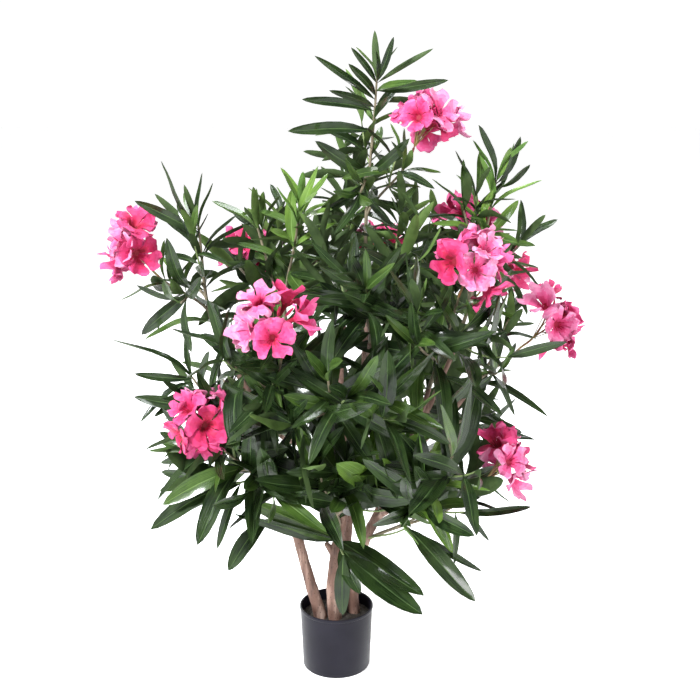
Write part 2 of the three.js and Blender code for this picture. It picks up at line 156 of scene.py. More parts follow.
# %% A material under construction
class Finish:
    """One material with a Principled shader. Uniform values are set on the shader's own sockets."""

    def __init__(self, name, **uniform):
        self.material = bpy.data.materials.new(name)
        self.material.use_nodes = True
        self.tree = self.material.node_tree
        self.shader = self.tree.nodes["Principled BSDF"]
        for socket, value in uniform.items():
            self.shader.inputs[socket.replace("_", " ")].default_value = value

    def node(self, kind, settings, sockets, output=0):
        made = self.tree.nodes.new(kind)
        for name, value in settings.items():
            if name == "stops":
                while len(made.color_ramp.elements) < len(value):
                    made.color_ramp.elements.new(0.5)
                for stop, (place, colour) in zip(made.color_ramp.elements, value):
                    stop.position, stop.color = place, (*colour, 1)
            else:
                setattr(made, name, value)
        for name, value in sockets.items():
            self.feed(made.inputs[name], value)
        return Flow(self, made.outputs[output])

    def feed(self, socket, value):
        if isinstance(value, Flow):
            self.tree.links.new(value.socket, socket)
        else:
            socket.default_value = value

    def place(self, stretch=(1, 1, 1)):
        """The point of the object, stretched: a small factor draws a pattern out along that axis."""
        point = self.node("ShaderNodeTexCoord", {}, {}, "Object")
        return self.node("ShaderNodeMapping", {}, {"Vector": point, "Scale": stretch})

    def noise(self, scale, detail=4.0, stretch=(1, 1, 1)):
        return self.node(
            "ShaderNodeTexNoise", {}, {"Vector": self.place(stretch), "Scale": scale, "Detail": detail}
        )

    def specks(self, scale, stretch=(1, 1, 1)):
        """Distance to the nearest of a scatter of points: small numbers are specks."""
        return self.node("ShaderNodeTexVoronoi", {}, {"Vector": self.place(stretch), "Scale": scale})

    def ramp(self, value, stops):
        return self.node("ShaderNodeValToRGB", {"stops": stops}, {"Fac": value})

    def step(self, value, low, high):
        """0 below low, 1 above high, and a smooth rise between."""
        return self.node(
            "ShaderNodeMapRange",
            {"interpolation_type": "SMOOTHSTEP"},
            {"Value": value, "From Min": low, "From Max": high},
        )

    def mix(self, share, a, b):
        settings = {"data_type": "RGBA"}
        return self.node("ShaderNodeMix", settings, {0: share, 6: a, 7: b}, output=2)

    def bump(self, height, distance, strength=1.0):
        normal = self.node(
            "ShaderNodeBump", {}, {"Height": height, "Distance": distance, "Strength": strength}
        )
        self.feed(self.shader.inputs["Normal"], normal)

    def surface(self, **sockets):
        for name, value in sockets.items():
            self.feed(self.shader.inputs[name.replace("_", " ")], value)
        return self.material


def rgb(colour):
    return (*colour, 1.0)


print("shader helpers ready")

# %% Floor and lights
FLOOR_HALF = 20  # metres from its middle to its edge
FLOOR_GLOW = 0.61  # makes up for the dim sky, so that the paper stays white to its far edge
LEVEL_LIGHT, OVERHEAD_LIGHT = 1.06, 0.26  # the surroundings near the horizon and overhead
FADE_FROM, FADE_TO = 0.22, 0.55  # the heights between which one fades into the other, with 1 overhead
AIM = Vector((0, 0, 0.65))  # the middle of the plant, where every lamp points
WHITE = (1, 1, 1)
LAMPS = [  # name, place, side in metres, watts, colour
    ("window_left", (-2.0, -2.2, 2.8), 0.6, 248, (0.95, 0.98, 1)),
    ("window_right", (2.6, -1.8, 1.8), 0.8, 60, WHITE),
    ("sky_light", (0.3, 0.4, 3.4), 1.1, 115, (0.94, 0.98, 1)),
    ("back_light", (-1.2, 3.0, 1.8), 1.2, 40, WHITE),
]


def studio_floor():
    paper = Finish("floor_paper", Roughness=0.9, Emission_Color=rgb(WHITE), Emission_Strength=FLOOR_GLOW)
    tint = paper.ramp(paper.noise(3, 2), [(0, (0.96, 0.96, 0.96)), (1, (0.98, 0.98, 0.98))])
    mesh = bpy.data.meshes.new("floor")
    h = FLOOR_HALF
    mesh.from_pydata([(-h, -h, 0), (h, -h, 0), (h, h, 0), (-h, h, 0)], [], [(0, 1, 2, 3)])
    mesh.materials.append(paper.surface(Base_Color=tint))
    floor = bpy.data.objects.new("floor", mesh)
    SCENE.collection.objects.link(floor)
    floor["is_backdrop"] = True


def softbox(name, place, size, watts, colour):
    data = bpy.data.lights.new(name, "AREA")
    data.shape, data.size, data.energy, data.color = "SQUARE", size, watts, colour
    lamp = bpy.data.objects.new(name, data)
    lamp.location = place
    lamp.rotation_euler = (AIM - Vector(place)).to_track_quat("-Z", "Y").to_euler()
    SCENE.collection.objects.link(lamp)


def surroundings():
    """White near the horizon and dim overhead, so that glossy leaves have light and dark to reflect."""
    world = bpy.data.worlds.new("studio")
    world.use_nodes = True
    nodes, links = world.node_tree.nodes, world.node_tree.links
    way, parts, fade = (nodes.new("ShaderNode" + kind) for kind in ("TexCoord", "SeparateXYZ", "MapRange"))
    fade.interpolation_type = "SMOOTHSTEP"
    levels = {"From Min": FADE_FROM, "From Max": FADE_TO, "To Min": LEVEL_LIGHT, "To Max": OVERHEAD_LIGHT}
    for socket, value in levels.items():
        fade.inputs[socket].default_value = value
    sky = nodes["Background"].inputs
    sky["Color"].default_value = rgb(WHITE)
    links.new(way.outputs["Generated"], parts.inputs[0])
    links.new(parts.outputs["Z"], fade.inputs["Value"])
    links.new(fade.outputs["Result"], sky["Strength"])
    SCENE.world = world


studio_floor()
for lamp in LAMPS:
    softbox(*lamp)
surroundings()
SCENE.view_settings.view_transform = "Standard"
print("studio ready, with", len(LAMPS), "lamps")

# %% [markdown]
# ## The finishes
#
# Fabric leaves are printed a dark green that is a little uneven and has a soft coating, and their backs are
# paler and matt. The petals are dyed darker towards the throat, and the throat is darkened further by painted
# shade in the funnel; their edges are paler, partly by a painted highlight. On hundreds of small joined
# shapes a pattern can't be aimed at one place, so whatever has a place, such as the back of a leaf, its
# midrib or a petal's throat, is its own finish on its own faces, and the nodes only add the fine unevenness
# that may fall anywhere.

# %% Leaf finishes
GLOSS = {"Coat_Roughness": 0.12, "Coat_Weight": 0.36, "Specular_IOR_Level": 0.12}
VEIN_WAVES, VEIN_SLANT = 210, 0.16  # waves of side veins along a leaf, in radians, and how they run forward


def leaf_relief(f):
    """The heights of side veins, which run forward from the midrib, and of long moulded ridges."""
    chart = f.node("ShaderNodeUVMap", {"uv_map": "leaf"}, {})
    across, along = (f.node("ShaderNodeSeparateXYZ", {}, {"Vector": chart}, axis) for axis in "XY")
    from_rib = f.node("ShaderNodeMath", {"operation": "ABSOLUTE"}, {0: across - 0.5})
    waves = (along - from_rib * VEIN_SLANT) * VEIN_WAVES
    veins = f.node("ShaderNodeMath", {"operation": "SINE"}, {0: waves})
    drawn_out = f.node("ShaderNodeMapping", {}, {"Vector": chart, "Scale": (7, 1.3, 1)})
    ridges = f.node("ShaderNodeTexNoise", {}, {"Vector": drawn_out, "Scale": 1.6, "Detail": 2.0})
    return veins, ridges


def blade_finish(name, dark, light, roughness):
    """The printed upper side: two greens in soft clouds, with veins, ridges and a fine woven grain."""
    f = Finish(name, **GLOSS)
    clouds = f.noise(26, 3)
    veins, ridges = leaf_relief(f)
    tint = f.mix(f.step(clouds * 0.6 + ridges * 0.4, 0.36, 0.64), rgb(dark), rgb(light))
    f.bump(veins * 0.1 + ridges * 2.4 + f.noise(420, 2) * 0.15 + clouds, 0.0012, 0.55)
    return f.surface(Base_Color=tint, Roughness=ridges * 0.24 + (roughness - 0.12))


def back_finish(name, dark, light):
    """The unprinted underside: paler, greyer and matt."""
    f = Finish(name, Specular_IOR_Level=0.18)
    tint = f.mix(f.step(f.noise(34, 3), 0.35, 0.65), rgb(dark), rgb(light))
    f.bump(f.noise(1100, 2), 0.0004, 0.4)
    return f.surface(Base_Color=tint, Roughness=f.noise(60, 2) * 0.2 + 0.55)


LEAF_DYES = {  # roughness, and the darker and the lighter green of the blade, the back and the rib
    "dark": (
        0.3, ((0.0072, 0.0165, 0.0052), (0.0215, 0.042, 0.01)), ((0.03, 0.052, 0.017), (0.05, 0.082, 0.026)),
        ((0.043, 0.08, 0.024), (0.066, 0.115, 0.035))),
    # A lighter green for fresh growth, which is also dealt out more often high in the crown as painted light
    # from above.
    "fresh": (
        0.33, ((0.025, 0.055, 0.01), (0.056, 0.104, 0.0185)), ((0.065, 0.115, 0.028), (0.095, 0.155, 0.04)),
        ((0.085, 0.145, 0.037), (0.12, 0.19, 0.05))),
    "young": (
        0.44, ((0.07, 0.14, 0.02), (0.12, 0.21, 0.033)), ((0.08, 0.17, 0.035), (0.13, 0.24, 0.055)),
        ((0.14, 0.24, 0.06), (0.18, 0.29, 0.08))),
}
LEAF_TONES = {
    tone: {
        "Blade": blade_finish(f"leaf_{tone}", *blade, roughness),
        "Back": back_finish(f"leaf_{tone}_back", *back),
        "Rib": back_finish(f"leaf_{tone}_rib", *rib),
    }
    for tone, (roughness, blade, back, rib) in LEAF_DYES.items()
}
print(sum(len(tone) for tone in LEAF_TONES.values()), "leaf finishes")


# %% Petal finishes
def petal_finish(name, deep, pale):
    """Dyed fabric: a soft matt pink that drifts a little, with a sheen from its nap."""
    f = Finish(name, Sheen_Weight=0.06, Sheen_Roughness=0.5, Specular_IOR_Level=0.25)
    drift = f.step(f.noise(55, 3), 0.3, 0.7)
    f.bump(f.noise(700, 2) + f.noise(90, 2) * 2, 0.0005, 0.5)
    tint = f.mix(drift, rgb(deep), rgb(pale))
    return f.surface(Base_Color=tint, Roughness=f.noise(80, 2) * 0.2 + 0.5)


# The zones run from a throat whose dye is deepened by painted shade in the funnel to an edge paled by a
# painted highlight.
PETAL_ZONES = ["Throat", "Inner", "Blade", "Outer", "Edge_dye_and_highlight"]
PETAL_DYES = {  # for each zone from the throat out: the darker and the lighter of its two pinks; the throat's pinks also hold painted shade, and the edge's a painted highlight
    "bright": [
        ((0.226, 0.003, 0.016), (0.285, 0.005, 0.029)), ((0.41, 0.008, 0.058), (0.46, 0.015, 0.084)),
        ((0.486, 0.02, 0.105), (0.536, 0.033, 0.142)), ((0.528, 0.04, 0.159), (0.57, 0.064, 0.209)),
        ((0.561, 0.071, 0.209), (0.602, 0.113, 0.268))],
    "pale": [
        ((0.277, 0.005, 0.029), (0.335, 0.009, 0.046)), ((0.469, 0.028, 0.113), (0.519, 0.046, 0.155)),
        ((0.536, 0.06, 0.188), (0.578, 0.092, 0.238)), ((0.578, 0.121, 0.268), (0.612, 0.176, 0.327)),
        ((0.612, 0.201, 0.351), (0.644, 0.268, 0.419))],
    "deep": [
        ((0.167, 0.002, 0.012), (0.226, 0.004, 0.02)), ((0.327, 0.005, 0.034), (0.377, 0.007, 0.05)),
        ((0.402, 0.009, 0.06), (0.452, 0.015, 0.088)), ((0.452, 0.018, 0.096), (0.502, 0.03, 0.13)),
        ((0.502, 0.035, 0.138), (0.552, 0.06, 0.184))],
}
PETAL_TONES = {
    tone: {
        zone: petal_finish(f"{tone}_petal_{zone.lower()}", *dyes)
        for zone, dyes in zip(PETAL_ZONES, pairs)
    }
    for tone, pairs in PETAL_DYES.items()
}
BUD = petal_finish("bud", (0.42, 0.012, 0.06), (0.56, 0.03, 0.12))
print(len(PETAL_TONES) * len(PETAL_ZONES) + 1, "petal finishes")


# %% Wood, twig and pot finishes
def bark_finish():
    """Peeled hardwood: pinkish brown, drawn out in streaks, with dark specks and pale scuffs."""
    f = Finish("bark")
    streaks = f.noise(60, 6, (1, 1, 0.16))
    blotches = f.noise(38, 4, (1, 1, 0.5))
    specks = f.specks(260, (1, 1, 0.5))
    browns = [(0.34, (0.075, 0.038, 0.029)), (0.48, (0.225, 0.13, 0.1)), (0.64, (0.42, 0.29, 0.24))]
    tinted = f.mix(f.step(blotches, 0.46, 0.56) * 0.75, f.ramp(streaks, browns), rgb((0.14, 0.07, 0.05)))
    speckled = f.mix((1 - f.step(specks, 0.14, 0.3)) * 0.75, tinted, rgb((0.06, 0.033, 0.022)))
    f.bump(streaks + specks * 0.3 + f.noise(500, 3, (1, 1, 0.3)) * 0.3, 0.0022, 0.8)
    return f.surface(Base_Color=speckled, Roughness=0.62 + streaks * 0.3)


def twig_finish(name, dark, light):
    f = Finish(name)
    tint = f.mix(f.step(f.noise(120, 3, (1, 1, 0.3)), 0.35, 0.65), rgb(dark), rgb(light))
    f.bump(f.noise(700, 3, (1, 1, 0.4)), 0.0008, 0.6)
    return f.surface(Base_Color=tint, Roughness=0.5 + f.noise(200, 2) * 0.2)


def pot_finish():
    """Moulded black polypropylene: satin, faintly mottled, with a little dust and handling marks."""
    f = Finish("pot_plastic", IOR=1.49, Specular_IOR_Level=0.17)
    mottle = f.noise(18, 4)
    marks = f.noise(70, 6, (1, 1, 6))
    tint = f.ramp(mottle, [(0.3, (0.0065, 0.0058, 0.0108)), (0.7, (0.011, 0.01, 0.0168))])
    f.bump(f.noise(420, 3) * 0.5 + marks * 0.3, 0.0004, 0.5)
    return f.surface(Base_Color=tint, Roughness=0.24 + marks * 0.2)


def cement_finish():
    f = Finish("cement")
    crumbs = f.specks(160)
    greys = [(0.3, (0.012, 0.009, 0.007)), (0.55, (0.035, 0.026, 0.02)), (0.8, (0.075, 0.06, 0.048))]
    f.bump(f.noise(300, 6) + crumbs, 0.003, 0.9)
    return f.surface(Base_Color=f.ramp(f.noise(90, 6), greys), Roughness=0.8 + f.noise(200, 2) * 0.2)


BARK = bark_finish()
TWIG_WOOD = twig_finish("twig_wood", (0.12, 0.1, 0.06), (0.24, 0.2, 0.13))
TWIG_GREEN = twig_finish("twig_green", (0.13, 0.19, 0.06), (0.24, 0.31, 0.12))
PEDICEL = twig_finish("pedicel", (0.2, 0.05, 0.035), (0.24, 0.2, 0.06))
CALYX = twig_finish("calyx", (0.16, 0.2, 0.04), (0.28, 0.28, 0.07))
POT_PLASTIC = pot_finish()
CEMENT = cement_finish()
print("wood, twig and pot finishes ready")

# %% [markdown]
# ## The growth rule
#
# An oleander's habit is simple: stems rise from the pot, boughs fork from them, and each shoot carries its
# leaves in whorls of three, every whorl turned half a step from the last. Low leaves stand out wide and hang,
# and those at the tip are short and upright. Drawing some thousand leaves by hand would be hopeless, so the
# shoots are curves between named points and a seeded random number varies what the rule gives: the same seed
# always grows the same plant. Lengths in these tables are in millimetres and are turned into metres where
# they are used.

# %% Stems and boughs: the skeleton
MM = 0.001
STEM_Z = 108.3
STEMS = {
    "left": {
        "route": [(-30, -18, STEM_Z), (-72, -20, 250), (-95, -28, 400), (-140, -28, 530)],
        "radii": (11.2, 6.6),
    },
    "middle": {
        "route": [(-2, -22, STEM_Z), (-30, -20, 260), (70, -12, 400), (55, 0, 805)],
        "radii": (11.4, 4.2),
    },
    "right": {
        "route": [(34, 4, STEM_Z), (22, 4, 210), (75, 0, 300), (140, -8, 455)],
        "radii": (10.4, 6.4),
    },
    "back": {
        "route": [(4, 26, STEM_Z), (25, 40, 250), (40, 80, 380), (5, 130, 520)],
        "radii": (10, 6.2),
    },
}
STUB = {"at": 0.27, "tip": (-19, -21, 262), "radii": (7.5, 5.2)}
BOUGHS = {
    "left_high": ("left", 0.96, (-215, -5, 660)),
    "front_left": ("left", 0.87, (-112, -120, 560)),
    "left_mid": ("left", 0.76, (-178, -40, 495)),
    "left_low": ("left", 0.55, (-138, -78, 415)),
    "mid_left": ("middle", 0.66, (-70, 15, 640)),
    "centre": ("middle", 0.78, (62, -92, 672)),
    "centre_front": ("middle", 0.56, (5, -132, 525)),
    "right_high": ("right", 0.96, (226, 24, 648)),
    "right_far": ("right", 0.88, (245, -10, 560)),
    "right_front": ("right", 0.79, (166, -98, 590)),
    "right_arm": ("right", 0.7, (210, 50, 452)),
    "right_low": ("right", 0.6, (158, -112, 402)),
    "back_mid": ("back", 0.96, (15, 195, 655)),
    "back_left": ("back", 0.86, (-92, 165, 590)),
    "back_right": ("back", 0.77, (122, 172, 585)),
    "back_left_low": ("back", 0.66, (-112, 130, 425)),
    "back_right_low": ("back", 0.57, (128, 155, 425)),
    "back_low": ("back", 0.46, (22, 165, 365)),
}
BOUGH_RADII = (6, 4.2)
print(len(STEMS), "stems and", len(BOUGHS), "boughs")


# %% The masses of foliage
def twig(*to, head=None, tall=1.0, hang=0.0, size=1.0, young=False, thin=1.0, bare=0.28):
    """A twig's tip, its head of blossom, how its leaves hang, grow and thin out, and its leafless share."""
    growth = {"hang": hang, "size": size, "young": young, "thin": thin, "bare": bare}
    return {"to": to, "head": head, "tall": tall, **growth}


MASSES = {  # the twigs of each mass: the first is its main shoot, and the others fork from it
    "crown_top": [
        twig(73, 0, 1120, size=0.9, thin=1.5), twig(128, -14, 976, head=(151, -20, 1037), size=0.9, thin=1.3),
        twig(24, 48, 965, thin=2.1, size=0.9), twig(44, -70, 930, size=0.95, thin=2.1)],
    "mid_left": [
        twig(-140, 20, 856, thin=1.2), twig(-64, -55, 876, young=True, thin=1.2),
        twig(-182, 95, 770, thin=2.1), twig(-35, 60, 790)],
    "left_upper": [
        twig(-246, 10, 864, size=0.95, thin=1.3),
        twig(-318, -5, 772, head=(-360, -2, 816), tall=1.35, thin=2.1, bare=0.5, size=0.8),
        twig(-296, 92, 750, thin=2.6, bare=0.6, size=0.65),
        twig(-270, -72, 738, thin=2.1, bare=0.5, size=0.85)],
    "left_mid": [
        twig(-258, -48, 596, thin=2.4, size=0.8), twig(-268, 40, 548, thin=2.3, size=0.75),
        twig(-240, -110, 566, thin=2.1, size=0.85)],
    "left_low": [
        twig(-196, -146, 496, head=(-219, -180, 553)), twig(-216, -72, 418, size=0.95, thin=2.3),
        twig(-140, -158, 450)],
    "front_left": [
        twig(-86, -220, 674, head=(-92, -268, 740)), twig(-166, -170, 672), twig(-70, -175, 640)],
    "centre": [
        twig(32, -180, 798, thin=1.15), twig(126, -76, 842), twig(100, -165, 740, thin=1.2),
        twig(-10, -110, 775, thin=1.2)],
    "centre_front": [
        twig(-8, -285, 656, thin=1.2), twig(78, -240, 610, thin=1.2), twig(-70, -230, 565, thin=1.2)],
    "centre_low": [
        twig(-26, -196, 470), twig(66, -150, 396, size=0.9, thin=1.5), twig(-88, -150, 425),
        twig(88, -165, 455, young=True)],
    "right_upper": [
        twig(287, 18, 942, young=True, size=1.0, thin=1.4), twig(236, 84, 790, head=(250, 96, 850)),
        twig(335, 34, 822, thin=2.1, bare=0.4, size=0.95), twig(228, -10, 892, bare=0.4, thin=1.5)],
    "right_front": [
        twig(208, -160, 766, head=(222, -190, 822)), twig(138, -228, 700), twig(252, -160, 690, thin=1.5)],
    "right_far": [
        twig(330, -30, 642, head=(382, -40, 690), tall=1.1, thin=2.1, bare=0.5, size=0.55),
        twig(325, 62, 680, thin=1.9, bare=0.4, size=0.7), twig(284, -100, 618, thin=2.3, size=0.52)],
    "right_arm": [
        twig(276, 58, 526, hang=0.1, thin=2.4, size=0.62), twig(272, 122, 476, hang=0.1, thin=2.6, size=0.65),
        twig(265, -15, 512, thin=2.4, size=0.52)],
    "right_low": [
        twig(196, -240, 514), twig(256, -86, 400, head=(298, -94, 442), tall=1.4, thin=1.5, size=0.75),
        twig(170, -205, 420, thin=1.3)],
    "right_bottom": [
        twig(230, -58, 358, hang=0.1, size=0.75, thin=3.0), twig(165, -110, 366, size=0.75, thin=2.8)],
    "back_mid": [
        twig(22, 238, 905), twig(76, 288, 740, head=(88, 322, 770)), twig(-30, 320, 730)],
    "back_left": [
        twig(-112, 262, 842), twig(-160, 232, 700, head=(-176, 256, 762)),
        twig(-250, 165, 690, thin=2.1, size=0.9)],
    "back_right": [
        twig(196, 252, 812), twig(276, 196, 694, head=(316, 212, 750), thin=2.1, size=0.9),
        twig(180, 150, 760, thin=1.4)],
    "back_left_low": [
        twig(-232, 205, 520, thin=2.1, size=0.85), twig(-125, 275, 492),
        twig(-205, 105, 435, thin=2.2, size=0.85)],
    "back_right_low": [
        twig(255, 230, 525, thin=1.5, size=0.9), twig(160, 300, 500),
        twig(235, 130, 420, thin=1.6, size=0.9)],
    "back_low": [
        twig(15, 305, 460), twig(-40, 215, 420, hang=0.1)],
}
FOOTING = {  # the limb that a mass grows from, and where along it, unless that is its own bough's end
    "crown_top": ("stem_middle", None),
    "left_upper": ("bough_left_high", None),
    "centre_low": ("stem_middle", 0.38),
    "right_upper": ("bough_right_high", None),
    "right_bottom": ("stem_right", 0.49),
}
LOW_SHOOTS = [
    # stem, share along it, the shoot's end, and its big leaves: share along the shoot, tip, width and, for
    # a leaf that hangs or arches, its shape
    ("stem_middle", 0.34, (14, -88, 268), [
        (0.45, (41, -135, 221), 1.5), (1.0, (15, -112, 157), 1.35), (0.12, (152, -175, 241), 1.1),
        (0.6, (154, -165, 192), 1.2), (0.1, (-178, -140, 368), 0.5), (0.05, (-150, -150, 392), 0.8)]),
    ("stem_right", 0.5, (130, -108, 331), [
        (1.0, (254, -160, 213), 1.15), (0.9, (267, -110, 248), 0.5, 3)]),
    ("stem_right", 0.72, (232, -98, 356), [
        (0.9, (222, -135, 270), 0.9), (1.0, (288, -90, 296), 0.75), (1.0, (310, -80, 352), 0.6),
        (0.9, (357, -90, 362), 0.5)]),
    ("stem_left", 0.52, (-129, -85, 335), [
        (1.0, (-194, -130, 257), 1.4), (0.8, (-160, -140, 290), 0.6)]),
    ("stem_left", 0.72, (-176, -110, 417), [
        (0.9, (-212, -160, 314), 0.6), (0.95, (-328, -150, 350), 0.95, 3), (0.8, (-300, -90, 348), 0.8)]),
    ("stem_right", 0.96, (262, 40, 556), [(0.98, (385, -12, 502), 0.95, 6)]),
    ("stem_back", 0.5, (60, 190, 330), [
        (1.0, (85, 270, 240), 0.9), (0.8, (-20, 250, 235), 0.9), (0.9, (150, 215, 250), 0.8)]),
    ("stem_back", 0.62, (-130, 150, 400), [(1.0, (-240, 170, 300), 0.9), (0.8, (-150, 250, 275), 0.8)]),
    ("stem_back", 0.62, (160, 130, 400), [(1.0, (270, 140, 300), 0.9), (0.8, (230, 220, 290), 0.8)]),
]
EDGE_LEAVES = {  # by mass: share along its main shoot, tip, width and, for a leaf that arches, its shape
    "crown_top": [
        (0.97, (28, -40, 1170), 0.8), (0.985, (69, 10, 1199), 1.1), (0.975, (100, -30, 1186), 0.95),
        (0.88, (-30, -60, 1155), 0.6), (0.97, (168, 20, 1168), 0.55), (0.93, (138, -70, 1116), 1.15),
        (0.93, (190, -40, 1117), 0.9), (0.9, (32, -70, 1140), 0.9), (0.82, (-52, -40, 1088), 0.75),
        (0.84, (-5, -80, 1100), 0.7), (0.71, (-74, -50, 1038), 0.9), (0.86, (150, 60, 1085), 0.7),
        (0.76, (24, 90, 1130), 0.8)],
    "left_upper": [
        (0.98, (-311, -20, 972), 1.0), (0.97, (-242, -30, 956), 0.95), (0.93, (-352, -20, 908), 1.1),
        (0.95, (-326, 40, 910), 0.8)],
    "right_upper": [
        (0.98, (247, -10, 1040), 0.7), (0.97, (326, -10, 1018), 1.1), (0.95, (340, -30, 970), 1.1),
        (0.9, (330, 100, 1000), 0.8)],
    "left_mid": [
        (0.98, (-400, -40, 662), 0.85, 4), (0.97, (-360, -60, 606), 0.95, 2), (0.9, (-345, -80, 520), 0.9, 5),
        (0.8, (-318, -110, 548), 0.8), (0.99, (-272, -60, 696), 1.1)],
    "left_low": [
        (0.95, (-319, -120, 455), 0.9), (0.9, (-318, -120, 396), 0.7, 5)],
}
EDGE_SLIM = 0.78  # leaves that stand against the sky are slimmer than those of the rule
ALL_TWIGS = [spec for specs in MASSES.values() for spec in specs]
HEAD_CENTRES = [spec["head"] for spec in ALL_TWIGS if spec["head"]]
print(len(MASSES), "masses,", len(ALL_TWIGS), "twigs,", len(HEAD_CENTRES), "heads of blossom")

# %% Curves that grow
STEPS = 100  # straight pieces by which a curve is measured


class Shoot:
    """A cubic curve that can be asked for a point by its share of the length."""

    def __init__(self, *handles):
        self.handles = [Vector(h) for h in handles]
        self.shares = np.linspace(0, 1, STEPS + 1)
        samples = [self.raw(i / STEPS) for i in range(STEPS + 1)]
        steps = [(b - a).length for a, b in zip(samples, samples[1:])]
        self.reached = np.concatenate([[0.0], np.cumsum(steps)])
        self.length = float(self.reached[-1])

    def raw(self, t):
        a, b, c, d = self.handles
        s = 1 - t
        return a * s**3 + b * (3 * s * s * t) + c * (3 * s * t * t) + d * t**3

    def slope(self, t):
        a, b, c, d = self.handles
        s = 1 - t
        return ((b - a) * (s * s) + (c - b) * (2 * s * t) + (d - c) * (t * t)).normalized()

    def share(self, along):
        return float(np.interp(along * self.length, self.reached, self.shares))

    def at(self, along):
        return self.raw(self.share(along))

    def heading(self, along):
        return self.slope(self.share(along))


def rising(start, heading, tip):
    """A limb that leaves `start` along `heading` and rises to `tip`."""
    span = (tip - start).length
    last = tip.lerp(start, 0.3)
    last.z -= span * 0.07
    return Shoot(start, start + heading * (span * 0.34), last, tip)


def seeded(seed):
    """Random numbers between 0 and 1, the same on every run."""
    state = seed
    while True:
        state = (state * 1664525 + 1013904223) % 2**32
        yield state / 2**32


def turned(vector, axis, degrees):
    return Matrix.Rotation(math.radians(degrees), 3, axis) @ vector


def metres(xyz):
    return Vector(xyz) * MM


LIMBS = {"stem_" + name: Shoot(*[metres(p) for p in stem["route"]]) for name, stem in STEMS.items()}
for name, (stem, at, tip) in BOUGHS.items():
    parent, end = LIMBS["stem_" + stem], metres(tip)
    start = parent.raw(at)
    way = parent.slope(at).lerp((end - start).normalized(), 0.6).normalized()
    LIMBS["bough_" + name] = rising(start, way, end)
print("stem lengths", {n: round(s.length, 3) for n, s in LIMBS.items() if n.startswith("stem")})

# %% [markdown]
# ## Stems and boughs with their bark
#
# The stems are real hardwood branches: tapering, slightly crooked, with low bumps where side twigs were cut
# away and a fine skin that is drawn out lengthways. Each limb is a tube along its curve with a ring every two
# or three millimetres, and smooth noise that is stretched along the wood pushes every point in or out. A
# bough starts inside its stem and is thicker there, as a real fork is, so the two read as one growth without
# any joining of meshes.

# %% Plain pieces
def object_of(mesh, name, materials=()):
    """A mesh as an object of the scene."""
    mesh.name = name
    for material in materials:
        mesh.materials.append(material)
    made = bpy.data.objects.new(name, mesh)
    SCENE.collection.objects.link(made)
    return made


def turn_outwards(mesh):
    """Turns every face of a closed mesh outwards."""
    bm = bmesh.new()
    bm.from_mesh(mesh)
    bmesh.ops.recalc_face_normals(bm, faces=bm.faces)
    bm.to_mesh(mesh)
    bm.free()


def object_from(bm, name, materials):
    mesh = bpy.data.meshes.new(name)
    bm.to_mesh(mesh)
    bm.free()
    turn_outwards(mesh)
    return object_of(mesh, name, materials)


def smooth_mesh(mesh, angle):
    """Smooth shading that keeps edges sharper than `angle` degrees."""
    mesh.shade_smooth()
    mesh.set_sharp_from_angle(angle=math.radians(angle))


def applied(piece, name):
    """The piece with its modifiers made real, as a plain mesh."""
    bpy.context.view_layer.update()
    depsgraph = bpy.context.evaluated_depsgraph_get()
    mesh = bpy.data.meshes.new_from_object(piece.evaluated_get(depsgraph))
    old = piece.data
    bpy.data.objects.remove(piece)
    bpy.data.meshes.remove(old)
    return object_of(mesh, name)


def ring_faces(bm, low, high):
    """Faces between two rings of equally many points."""
    for corners in zip(low, low[1:] + low[:1], high[1:] + high[:1], high):
        bm.faces.new(corners)


def tell(piece):
    piece.data.calc_loop_triangles()
    print(piece.name, len(piece.data.loop_triangles), "triangles")


# %% Limbs with bark relief
RING_GAP = 0.0024
FOOT = 0.1045  # height of the stems' feet, in the cement
STEM_SIDES, STUB_SIDES, BOUGH_SIDES = 22, 18, 14
SAWN_END = 0.7  # an end's radius, of what the taper gives
KNOTS = {  # share of the stem's length, height in mm, spread as a share
    "left": [(0.14, 0.9, 0.02), (0.43, 1.6, 0.02), (0.62, 1.2, 0.015)],
    "middle": [(0.09, 1.0, 0.015), (0.2, 2.2, 0.014), (0.27, 1.6, 0.02), (0.4, 1.4, 0.015)],
    "right": [(0.2, 1.2, 0.02), (0.5, 1.7, 0.02), (0.7, 1.0, 0.02)],
    "back": [(0.25, 1.4, 0.02), (0.55, 1.4, 0.02)],
}
BOUGH_KNOT = (0.45, 0.8, 0.03)


def bark_relief(p):
    """How far the skin stands out at a point, in mm: long ridges, low lumps and a fine tooth."""
    ridges = noise.noise(Vector((p.x * 210, p.y * 210, p.z * 30)))
    lumps = noise.noise(p * 55)
    tooth = noise.noise(Vector((p.x * 620, p.y * 620, p.z * 200)))
    return ridges * 0.55 + lumps * 0.7 + tooth * 0.16


def limb_tube(bm, shoot, radii, sides, collar, knots=(), rooted=False):
    """A closed tube. Its collar is the extra thickness at the foot and how far that reaches, as shares."""
    rings = max(8, int(shoot.length / RING_GAP))
    across = shoot.heading(0).orthogonal().normalized()
    previous = None
    for ring in range(rings + 1):
        u = ring / rings
        centre, axis = shoot.at(u), shoot.heading(u)
        across = (across - axis * across.dot(axis)).normalized()
        other = axis.cross(across)
        radius = (radii[0] + (radii[1] - radii[0]) * u) * (1 + collar[0] * math.exp(-u / collar[1]))
        radius += sum(height * math.exp(-(((u - place) / spread) ** 2)) for place, height, spread in knots)
        if ring == rings:
            radius *= SAWN_END
        row = []
        for s in range(sides):
            a = math.tau * s / sides
            out = across * math.cos(a) + other * math.sin(a)
            point = centre + out * radius * MM
            point += out * bark_relief(point) * MM * min(1, radius / 7)
            if rooted and ring == 0:
                point.z = FOOT  # the foot is cast into the cement
            row.append(bm.verts.new(point))
        if previous:
            ring_faces(bm, previous, row)
        else:
            bm.faces.new(row[::-1])
        previous = row
    bm.faces.new(previous)


